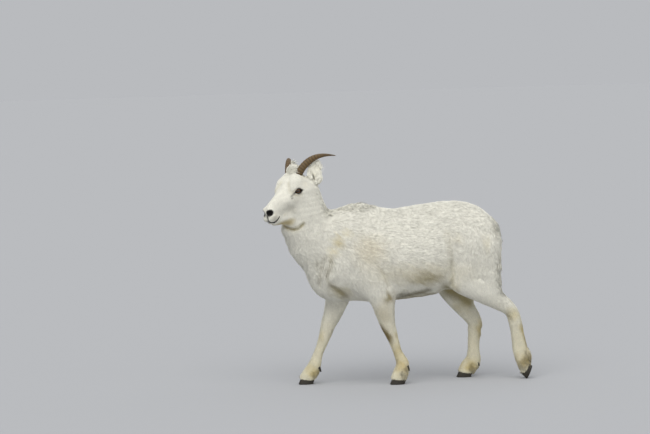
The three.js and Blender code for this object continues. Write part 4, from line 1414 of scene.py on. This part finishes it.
class Tufts:
    """Thin tufts, each a closed spindle: a root, a ring of three corners, and a tip along the body."""

    # Distance between the locks that stand up together.
    LOCK = 22
    CORNERS = 5
    FACES = np.array(((4, 1, 2), (4, 2, 3), (4, 3, 1), (0, 2, 1), (0, 3, 2), (0, 1, 3)))
    # Where the ring is along the tuft.
    RING_AT = 0.42
    # For each corner, how far its colour is from the root's to the tip's, and how light it is: painted shade
    # darkens the root and painted light lightens the tip.
    SHADES = ((0, 0.96), (0.5, 0.99), (0.5, 0.99), (0.5, 0.99), (1, 1.02))
    # Where a tuft's corners lie within its patch of the map.
    PATCH = np.array(((1, 0), (0, 1), (1, 1), (2, 1), (1, 2))) * 0.0015 - 0.0015

    def __init__(self, roots, shape, coat, rng):
        points, normals = roots.places, roots.normals
        count = len(points)
        depth = np.maximum(shape.hair_depth(points), 1.2)
        share = np.clip(depth / shape.body, 0, 1)
        length, width = tuft_size(share)
        length = length * rng.uniform(0.7, 1.2, count)
        width = width * rng.uniform(0.7, 1.25, count)
        in_ear = inside_ear(points, normals)
        length[in_ear] = rng.uniform(16, 30, in_ear.sum())
        width[in_ear] *= 1.8
        locks = np.floor((points + 6 * swirl(points * 4)) / self.LOCK).astype(np.int64)
        raised = ruffling(points) * (0.08 + 1.1 * scattered(locks, 7) ** 2) * rng.uniform(0.6, 1.0, count)
        length *= 1 + 0.35 * raised
        length += near_hooves(points) * rng.uniform(0, 7, count)
        size = coat.clump / MM * (0.45 + 0.55 * share)
        cells = np.floor(points / size[:, None]).astype(np.int64)
        rise = depth * (rng.uniform(0.2, 1.0, count) * (0.8 + 0.3 * scattered(cells, 5)) + raised)
        rise *= 1 - 0.9 * creasing(points)
        rise[in_ear] = rng.uniform(6, 20, in_ear.sum())
        lie = lie_of_hair(points, normals)
        across = np.cross(normals, lie)
        turn = (rng.normal(0, 0.1, count) * (1 + raised))[:, None]
        lie = unit(lie * np.cos(turn) + across * np.sin(turn))
        jitter = np.stack([scattered(cells, salt) for salt in (1, 2, 3)], axis=1)
        pull = (cells + 0.2 + 0.6 * jitter) * size[:, None] - points
        pull -= normals * (pull * normals).sum(axis=1, keepdims=True)
        pull -= lie * (pull * lie).sum(axis=1, keepdims=True)
        pull *= rng.uniform(0.05, 0.35, count)[:, None] * (1 + raised)[:, None]
        tips = shape.laid(points + lie * length[:, None] + pull, normals, rise)
        middles = points + lie * (length * self.RING_AT)[:, None] + pull * 0.4
        middles = shape.laid(middles, normals, rise * 0.66)
        across = unit(np.cross(normals, tips - points))
        up = unit(np.cross(tips - points, across))
        half = (width / 2)[:, None]
        corners = np.empty((count, self.CORNERS, 3))
        corners[:, 0] = points - normals * np.minimum(1.2, depth * 0.4)[:, None]
        corners[:, 1] = middles + across * half
        corners[:, 2] = middles + up * half * 0.6
        corners[:, 3] = middles - across * half
        corners[:, 4] = tips
        self.corners = corners
        tilt = rng.normal(0, 0.16, count) + 0.3 * (scattered(cells, 11) - 0.5)
        facing = unit(normals + up * 0.35 + across * tilt[:, None])
        stands = np.where(in_ear, 0.75, np.clip(0.28 + 0.6 * raised, 0, 0.8))
        self.normals = self.lit(facing, lie, across, up, stands[:, None])
        tone = rng.normal(1.0, 0.035, count) * (0.98 + 0.04 * scattered(cells, 9))
        # The long hair in the ears' cups is painted lighter, as painted light against the shade it casts on
        # itself.
        tone *= np.where(in_ear, 1.08, 1)
        mottled = rng.normal(0, 2, points.shape) * share[:, None]
        at_root = marked_colours(shape, points + mottled, coat)
        at_tip = marked_colours(shape, tips + mottled - normals * rise[:, None], coat)
        self.colours = self.shaded(at_root, at_tip, tone[:, None])
        self.maps = roots.maps
        self.points = points

    def lit(self, facing, lie, across, up, stands):
        """Normals of the corners: flat tufts are lit as the coat around them, others by their own form."""
        own = (-lie, across - 0.5 * up, up, -across - 0.5 * up, lie)
        return np.stack([unit(facing * (1 - stands) + unit(o) * stands) for o in own], axis=1)

    def shaded(self, at_root, at_tip, tone):
        """Colours of the corners, from the root's to the tip's, with painted shade at the root and painted
        light at the tip.
        """
        change = at_tip - at_root
        return np.stack([(at_root + change * t) * tone * shade for t, shade in self.SHADES], axis=1)

    def piece(self, name, chosen):
        """One piece of the coat, of the chosen tufts."""
        base = (np.arange(len(chosen)) * self.CORNERS)[:, None, None]
        triangles = (base + self.FACES).reshape(-1, 3)
        piece = make_mesh(name, self.corners[chosen].reshape(-1, 3), (triangles,))
        piece.data.normals_split_custom_set_from_vertices(self.normals[chosen].reshape(-1, 3).tolist())
        paint(piece, self.colours[chosen].reshape(-1, 3))
        places = (self.maps[chosen][:, None, :] + self.PATCH).reshape(-1, 2)
        layer = piece.data.uv_layers.new(name="OFBake")
        places = np.clip(places[triangles.ravel()], 0, 1).astype(np.float32)
        layer.data.foreach_set("uv", places.ravel())
        return piece


def beyond(points, cut):
    """Whether places lie past a cut plane."""
    at, normal = cut
    return (points - at) @ np.array(normal) > 0


class EWE_OT_coat(bpy.types.Operator):
    """Cover the skin with tufts of hair."""

    bl_idname = "ewe.coat"
    bl_label = "Grow coat"

    # A piece of the coat holds no more tufts than this.
    MOST = 32000

    def execute(self, context):
        coat = context.scene.ewe_coat
        skin = bpy.data.objects["skin"]
        shape = Shape(coat)
        rng = np.random.default_rng(coat.seed)
        count = coat.tufts
        tufts = Tufts(Roots(skin, shape, count, rng), shape, coat, rng)
        points = tufts.points
        head = beyond(points, HEAD_CUT)
        neck = ~head & beyond(points, NECK_CUT)
        leg = ~head & ~neck & (points[:, 2] < 372)
        parts = (
            ("coat_head", head, "face"),
            ("coat_neck", neck, "fleece"),
            ("coat_legs", leg, "leg_hair"),
            ("coat_torso", ~(head | neck | leg), "fleece"),
        )
        material = hair_material("long_hair", 300.0, 0.3, 0.001)
        for name, mask, slot in parts:
            chosen = mask.nonzero()[0]
            chosen = chosen[np.argsort(points[chosen, 0], kind="stable")]
            pieces = max(1, math.ceil(len(chosen) / self.MOST))
            for i, some in enumerate(np.array_split(chosen, pieces)):
                finish_piece(tufts.piece(f"{name}_{i + 1}", some), material, slot)
        return {"FINISHED"}


def lofted(rings):
    """Corners and faces of a closed surface over rings, with a corner at each end."""
    rings = np.asarray(rings, float)
    count, sides = rings.shape[:2]
    r, s = np.meshgrid(np.arange(count - 1), np.arange(sides), indexing="ij")
    a = (r * sides + s).ravel()
    b = (r * sides + (s + 1) % sides).ravel()
    quads = np.stack((a, b, b + sides, a + sides), axis=1)
    ends = np.array((rings[0].mean(axis=0), rings[-1].mean(axis=0)))
    corners = np.concatenate((rings.reshape(-1, 3), ends))
    s = np.arange(sides)
    low = np.stack(((s + 1) % sides, s, np.full(sides, count * sides)), axis=1)
    last = (count - 1) * sides
    high = np.stack((last + s, last + (s + 1) % sides, np.full(sides, count * sides + 1)), axis=1)
    return corners, (quads, np.concatenate((low, high)))


class EWE_OT_horns(bpy.types.Operator):
    """Build both horns with their rings of growth."""

    bl_idname = "ewe.horns"
    bl_label = "Build horns"

    # Cross sections along a horn, and corners round each.
    SECTIONS = 300
    SIDES = 56

    def execute(self, context):
        horns = context.scene.ewe_horns
        material, tree, shader = new_material("horn")
        shader.inputs["Roughness"].default_value = 0.55
        grain = remapped(tree, noise(tree, 260.0, 4.0, (0.25, 1, 1)), 0.8, 1.15)
        tree.links.new(tinted(tree, painted(tree), grain), shader.inputs["Base Color"])
        add_bump(tree, shader, noise(tree, 700.0, 4.0, (0.2, 1, 1)), 0.5, 0.0006)
        for hand, side in ((1, "left"), (-1, "right")):
            self.build(horns, hand, f"horn_{side}", material)
        return {"FINISHED"}

    def build(self, horns, hand, name, material):
        base = np.array(HORN["base"], float) * (1, hand, 1)
        lean = math.radians(HORN["lean"])
        turn = np.array(Matrix.Rotation(lean, 3, "X"))
        bend, tip = (turn @ (np.array(HORN[k], float) * (1, hand, 1) - base) + base for k in ("bend", "tip"))
        t = np.linspace(-0.03, 1, self.SECTIONS)[:, None]
        middle = base * (1 - t) ** 2 + 2 * bend * t * (1 - t) + tip * t**2
        along = unit(2 * (bend - base) * (1 - t) + 2 * (tip - bend) * t)
        across = unit(np.cross(along, (0, 0, 1)))
        up = np.cross(across, along)
        t = t[:, 0]
        wave = ((np.clip(t, 0, 1) ** 0.88) * horns.rings) % 1
        ridge = np.sin(np.pi * wave) ** 0.7
        fade = np.clip((0.86 - t) / 0.3, 0, 1)
        stand = horns.ring_depth / MM * ridge * fade
        radius = HORN["tip_radius"] * 0.5 + (HORN["radius"] - 1.2) * (1 - np.clip(t, 0, 1) ** 2) + stand
        radius[-1] = 0.4
        turns = np.linspace(0, 2 * np.pi, self.SIDES, endpoint=False)
        keel = 1 + 0.035 * np.cos(3 * turns)
        tall = (radius[:, None] * 1.08 * keel * np.cos(turns))[:, :, None]
        wide = (radius[:, None] * 0.86 * keel * np.sin(turns))[:, :, None]
        rings = middle[:, None] + up[:, None] * tall + across[:, None] * wide
        corners, faces = lofted(rings)
        horn = make_mesh(name + "_sheath", from_head(corners), faces)
        light, dark = np.array(horns.colour), np.array(horns.groove)
        shade = np.clip(0.25 + 0.75 * ridge * fade + 0.3 * (1 - fade), 0, 1)
        shade = shade * (0.85 + 0.25 * np.clip(t, 0, 1))
        colours = dark + (light - dark) * shade[:, None]
        colours = np.repeat(colours, len(turns), axis=0)
        paint(horn, np.concatenate((colours, colours[:1], colours[-1:])))
        finish_piece(horn, material, "horn", (name,))


class EWE_OT_eyes(bpy.types.Operator):
    """Build both eyes with their level pupils, and the rims of the lids."""

    bl_idname = "ewe.eyes"
    bl_label = "Build eyes"

    # Half the thickness of a lid's rim, and how far out from the middle of the eye it stands at least.
    RIM_THICK = 1.9
    RIM_OUT = 7.5

    def execute(self, context):
        eyes = context.scene.ewe_eyes
        wet, tree, shader = new_material("wet_eye")
        shader.inputs["Roughness"].default_value = 0.2
        shader.inputs["Coat Weight"].default_value = 0.4
        shader.inputs["Coat Roughness"].default_value = 0.04
        streaks = remapped(tree, noise(tree, 900.0, 3.0), 0.75, 1.2)
        tree.links.new(tinted(tree, painted(tree), streaks), shader.inputs["Base Color"])
        rim, tree, shader = new_material("lid_rim")
        shader.inputs["Roughness"].default_value = 0.42
        tone = remapped(tree, noise(tree, 500.0), 0.7, 1.3)
        tree.links.new(tinted(tree, painted(tree), tone), shader.inputs["Base Color"])
        for hand, side in ((1, "left"), (-1, "right")):
            self.build_ball(eyes, hand, side, wet)
            self.build_rim(hand, side, rim)
        return {"FINISHED"}

    def build_ball(self, eyes, hand, side, material):
        polar = np.radians(np.concatenate((np.linspace(0.4, 50, 90), np.linspace(52, 179, 40))))[:, None]
        round_about = np.linspace(0, 2 * np.pi, 96, endpoint=False)
        bulge = 1.2 * (1 - step_between(np.degrees(polar), 26, 42)) * np.cos(polar)
        radius = EYE_RADIUS - 0.9 + bulge
        along = radius * np.sin(polar) * np.cos(round_about)
        up = radius * np.sin(polar) * np.sin(round_about)
        out = radius * np.cos(polar) * np.ones_like(round_about)
        rings = np.stack((along, up, out), axis=-1) @ EYE_AXES + EYE_AT
        corners, faces = lofted(rings[::-1])
        ball = make_mesh(f"eyeball_{side}", from_head(corners * (1, hand, 1)), mirrored(faces, hand))
        places = (corners - EYE_AT) @ EYE_AXES.T
        spread = np.hypot(places[:, 0], places[:, 1])
        front = places[:, 2] > 0
        iris = eyes.iris / MM
        pupil = eyes.pupil / MM
        colours = np.tile(np.array(linear("#2a2018")), (len(corners), 1))
        inside = front & (spread < iris)
        glow = (0.45 + 0.75 * (1 - (spread / iris) ** 2))[:, None]
        colours[inside] = (np.array(eyes.colour) * glow)[inside]
        slot = np.abs(places[:, 0] / pupil) ** 3.5 + np.abs(places[:, 1] / (pupil * 0.46)) ** 2.5
        colours[front & (slot < 1)] = linear("#050505")
        colours[front & (np.abs(spread - iris) < 1.0)] = linear("#120d09")
        paint(ball, colours)
        finish_piece(ball, material, "eye", (f"eye_{side}",))

    def build_rim(self, hand, side, material):
        turns = np.linspace(0, 2 * np.pi, 72, endpoint=False)
        along = np.cos(turns) * LID["length"] / 2
        up = np.sign(np.sin(turns)) * LID["height"] / 2 * (1 - np.cos(turns) ** 2)
        radius = EYE_RADIUS + 0.9
        out = np.sqrt(np.maximum(radius**2 - along**2 - up**2, 1))
        out = np.maximum(out, self.RIM_OUT)
        middle = np.stack((along, up, out), axis=1)
        ahead = unit(np.roll(middle, -1, axis=0) - np.roll(middle, 1, axis=0))
        outward = unit(middle)
        sideways = np.cross(ahead, outward)
        ring_turns = np.linspace(0, 2 * np.pi, 8, endpoint=False)
        round_about = (
            middle[:, None]
            + outward[:, None] * (np.cos(ring_turns) * self.RIM_THICK)[:, None]
            + sideways[:, None] * (np.sin(ring_turns) * self.RIM_THICK)[:, None]
        )
        count, sides = round_about.shape[:2]
        r, s = np.meshgrid(np.arange(count), np.arange(sides), indexing="ij")
        a = (r * sides + s).ravel()
        b = (r * sides + (s + 1) % sides).ravel()
        c = ((r + 1) % count * sides + (s + 1) % sides).ravel()
        d = ((r + 1) % count * sides + s).ravel()
        faces = mirrored((np.stack((a, d, c, b), axis=1),), hand)
        corners = round_about.reshape(-1, 3) @ EYE_AXES + EYE_AT
        lid = make_mesh(f"lid_rim_{side}", from_head(corners * (1, hand, 1)), faces)
        paint(lid, np.tile(RIM_COLOUR, (len(corners), 1)))
        finish_piece(lid, material, "face")


def mirrored(faces, hand):
    """Faces turned round where their corners were mirrored."""
    return faces if hand > 0 else tuple(np.asarray(group)[:, ::-1] for group in faces)


class EWE_OT_hooves(bpy.types.Operator):
    """Build two claws and two dewclaws on each foot."""

    bl_idname = "ewe.hooves"
    bl_label = "Build hooves"

    def execute(self, context):
        hooves = context.scene.ewe_hooves
        material, tree, shader = new_material("hoof")
        shader.inputs["Roughness"].default_value = 0.62
        wear = remapped(tree, noise(tree, 120.0, 4.0), 0.65, 1.35)
        tree.links.new(tinted(tree, painted(tree), wear), shader.inputs["Base Color"])
        add_bump(tree, shader, noise(tree, 600.0, 4.0, (0.6, 0.6, 1.6)), 0.5, 0.0008)
        for name, leg in LEGS.items():
            for hand, side in ((-1, "inner"), (1, "outer")):
                self.build_claw(hooves, leg, hand, f"claw_{name}_{side}", material)
                self.build_dewclaw(hooves, leg, hand, f"dewclaw_{name}_{side}", material)
        return {"FINISHED"}

    def build_claw(self, hooves, leg, hand, node, material):
        length, width, slit = CLAW["length"], CLAW["width"], CLAW["slit"]
        t = np.concatenate(((0, 0.02), np.linspace(0.06, 1.15, 26)))[:, None]
        turns = np.linspace(0, 2 * np.pi, 48, endpoint=False)
        forward, out = np.cos(turns), np.sin(turns)
        growth = 0.35 * np.sin(t * 34)
        shrink = 1 - 0.12 * t - 0.03 * (t < 0.01)
        taper = np.where(forward > 0, 1 - 0.34 * forward**2, 1 - 0.1 * forward**2)
        x = -forward * (length / 2 - 0.6 + growth) * shrink + 9 * t
        bulge = np.where(out > 0, width * 0.62, width * 0.38) - 0.4 + growth
        hand = hand * leg["side"]
        y = hand * (slit / 2 + width * 0.38 + out * bulge * taper * shrink)
        slope = (CLAW["toe_height"] - CLAW["heel_height"]) / (length - 14)
        top = CLAW["toe_height"] + 2 - (x + length / 2 - 7) * slope
        z = t / 1.15 * top
        rings = np.stack(np.broadcast_arrays(x, y, z), axis=-1)
        corners, faces = lofted(rings)
        turn, place = foot_frame(leg)
        placed = corners @ turn.T + place
        placed[:, 2] = np.maximum(placed[:, 2], 0)
        claw = make_mesh(node + "_horn", placed, mirrored(faces, -hand))
        shade = 0.75 + 0.5 * step_between(corners[:, 2], 0, 30)
        paint(claw, np.array(hooves.colour) * shade[:, None])
        finish_piece(claw, material, "hoof", (node,))

    def build_dewclaw(self, hooves, leg, hand, node, material):
        t = np.linspace(0, 1, 14)
        profile = np.sqrt(np.maximum(1 - (t * 0.97) ** 3, 0.01)) * DEWCLAW["radius"] * (1 - 0.45 * t)
        turns = np.linspace(0, 2 * np.pi, 24, endpoint=False)
        droop = math.radians(DEWCLAW["droop"])
        axis = np.array((math.cos(droop), 0, -math.sin(droop)))
        up = np.array((math.sin(droop), 0, math.cos(droop)))
        along, height = leg["fetlock"]
        out = leg_spread(height) + hand * DEWCLAW["apart"]
        middle = np.array((along + DEWCLAW["back"], leg["side"] * out, height - 6))
        centres = middle + axis * ((t - 0.5) * DEWCLAW["length"])[:, None]
        tall = (profile[:, None] * np.cos(turns))[:, :, None] * up
        wide = (profile[:, None] * np.sin(turns) * 0.75)[:, :, None] * np.array((0, 1, 0))
        corners, faces = lofted(centres[:, None] + tall + wide)
        spur = make_mesh(node + "_horn", corners, faces)
        paint(spur, np.tile(np.array(hooves.colour) * 0.85, (len(corners), 1)))
        finish_piece(spur, material, "hoof", (node,))


class EWE_OT_stage(bpy.types.Operator):
    """Lay the floor, hang the lights and place the camera."""

    bl_idname = "ewe.stage"
    bl_label = "Set stage"

    # The middle of the view, in the ewe's frame.
    AIM = (-350, 0, 770.76)
    SENSOR = 36.0
    FLOOR_SIDES = 96
    FLOOR_RADII = (1500, 4000, 12000, 60000)

    def execute(self, context):
        stage = context.scene.ewe_stage
        self.lay_floor(stage)
        self.hang_lights(context.scene, stage)
        self.place_camera(context.scene, stage)
        return {"FINISHED"}

    # Lamps as far off as the sun: the way to each, its strength, its spread in degrees, and its colour.
    LAMPS = (
        ("key_lamp", (-0.2, -0.62, 1.0), 1.8, 60, (1.0, 0.995, 0.98)),
        ("front_lamp", (0.3, -1.0, 0.25), 0.5, 90, (1.0, 0.995, 0.98)),
        ("fill_lamp", (0.5, 0.75, 1.0), 0.45, 90, (0.95, 0.97, 1.0)),
    )

    def lay_floor(self, stage):
        sides = self.FLOOR_SIDES
        turns = np.linspace(0, 2 * np.pi, sides, endpoint=False)
        ring = np.stack((np.cos(turns), np.sin(turns), 0 * turns), axis=1)
        corners = np.concatenate([((0, 0, 0),)] + [ring * r for r in self.FLOOR_RADII])
        here = 1 + np.arange(sides)
        beside = 1 + (np.arange(sides) + 1) % sides
        fan = np.stack((np.zeros(sides, int), here, beside), axis=1)
        belt = np.stack((here, here + sides, beside + sides, beside), axis=1)
        belts = [belt + sides * i for i in range(len(self.FLOOR_RADII) - 1)]
        floor = make_mesh("stage_floor", corners, (np.concatenate(belts), fan))
        material, tree, shader = new_material("pale_floor")
        shader.inputs["Roughness"].default_value = 1.0
        shader.inputs["Specular IOR Level"].default_value = 0.0
        shader.inputs["Base Color"].default_value = (*stage.floor, 1)
        floor.data.materials.append(material)

    def hang_lights(self, scene, stage):
        on_floor = np.zeros(3)
        for name, way, strength, spread, colour in self.LAMPS:
            light = bpy.data.lights.new(name, "SUN")
            light.angle = math.radians(spread)
            light.energy = strength
            light.color = colour
            lamp = bpy.data.objects.new(name, light)
            lamp.location = Vector(way) * 4
            lamp.rotation_euler = (-Vector(way)).to_track_quat("-Z", "Y").to_euler()
            scene.collection.objects.link(lamp)
            on_floor += np.array(colour) * strength * unit(way)[2] / math.pi
        # The world is as bright as the lit floor, so the floor has no edge.
        floor = np.array(stage.floor)
        world = bpy.data.worlds.new("studio")
        world.use_nodes = True
        background = world.node_tree.nodes["Background"]
        background.inputs["Color"].default_value = (*(floor * on_floor / (1 - floor)), 1)
        scene.world = world
        scene.view_settings.view_transform = "Standard"

    def place_camera(self, scene, stage):
        a, e = stage.azimuth, stage.elevation
        back = Vector((math.sin(a) * math.cos(e), -math.cos(a) * math.cos(e), math.sin(e)))
        camera = bpy.data.cameras.new("camera")
        camera.sensor_width = self.SENSOR
        camera.lens = self.SENSOR * stage.distance / stage.width
        camera.clip_end = 200
        eye = bpy.data.objects.new("camera", camera)
        aim = Vector(np.array(self.AIM) * MM + SHIFT)
        turn = (-back).to_track_quat("-Z", "Y").to_matrix()
        turn = Matrix.Rotation(stage.roll, 3, back) @ turn
        eye.matrix_world = Matrix.Translation(aim + back * stage.distance) @ turn.to_4x4()
        scene.collection.objects.link(eye)
        scene.camera = eye


class EWE_PT_panel(bpy.types.Panel):
    """Settings and steps of the ewe."""

    bl_idname = "EWE_PT_panel"
    bl_label = "Dall sheep ewe"
    bl_space_type = "VIEW_3D"
    bl_region_type = "UI"
    bl_category = "Ewe"

    def draw(self, context):
        for name, _ in SETTINGS:
            box = self.layout.box()
            group = getattr(context.scene, name)
            for key in group.bl_rna.properties.keys():
                if key not in ("rna_type", "name"):
                    box.prop(group, key)
        for operator in STEPS:
            self.layout.operator(operator.bl_idname)


SETTINGS = (
    ("ewe_coat", EweCoatSettings),
    ("ewe_horns", EweHornSettings),
    ("ewe_eyes", EweEyeSettings),
    ("ewe_hooves", EweHoofSettings),
    ("ewe_stage", EweStageSettings),
)
STEPS = (EWE_OT_stage, EWE_OT_skin, EWE_OT_coat, EWE_OT_horns, EWE_OT_eyes, EWE_OT_hooves)


def register():
    for name, group in SETTINGS:
        bpy.utils.register_class(group)
        setattr(bpy.types.Scene, name, PointerProperty(type=group))
    for operator in STEPS:
        bpy.utils.register_class(operator)
    bpy.utils.register_class(EWE_PT_panel)


def unregister():
    bpy.utils.unregister_class(EWE_PT_panel)
    for operator in reversed(STEPS):
        bpy.utils.unregister_class(operator)
    for name, group in reversed(SETTINGS):
        delattr(bpy.types.Scene, name)
        bpy.utils.unregister_class(group)


def main():
    register()
    bpy.ops.ewe.stage()
    bpy.ops.ewe.skin()
    bpy.ops.ewe.coat()
    bpy.ops.ewe.horns()
    bpy.ops.ewe.eyes()
    bpy.ops.ewe.hooves()


if __name__ == "__main__":
    main()
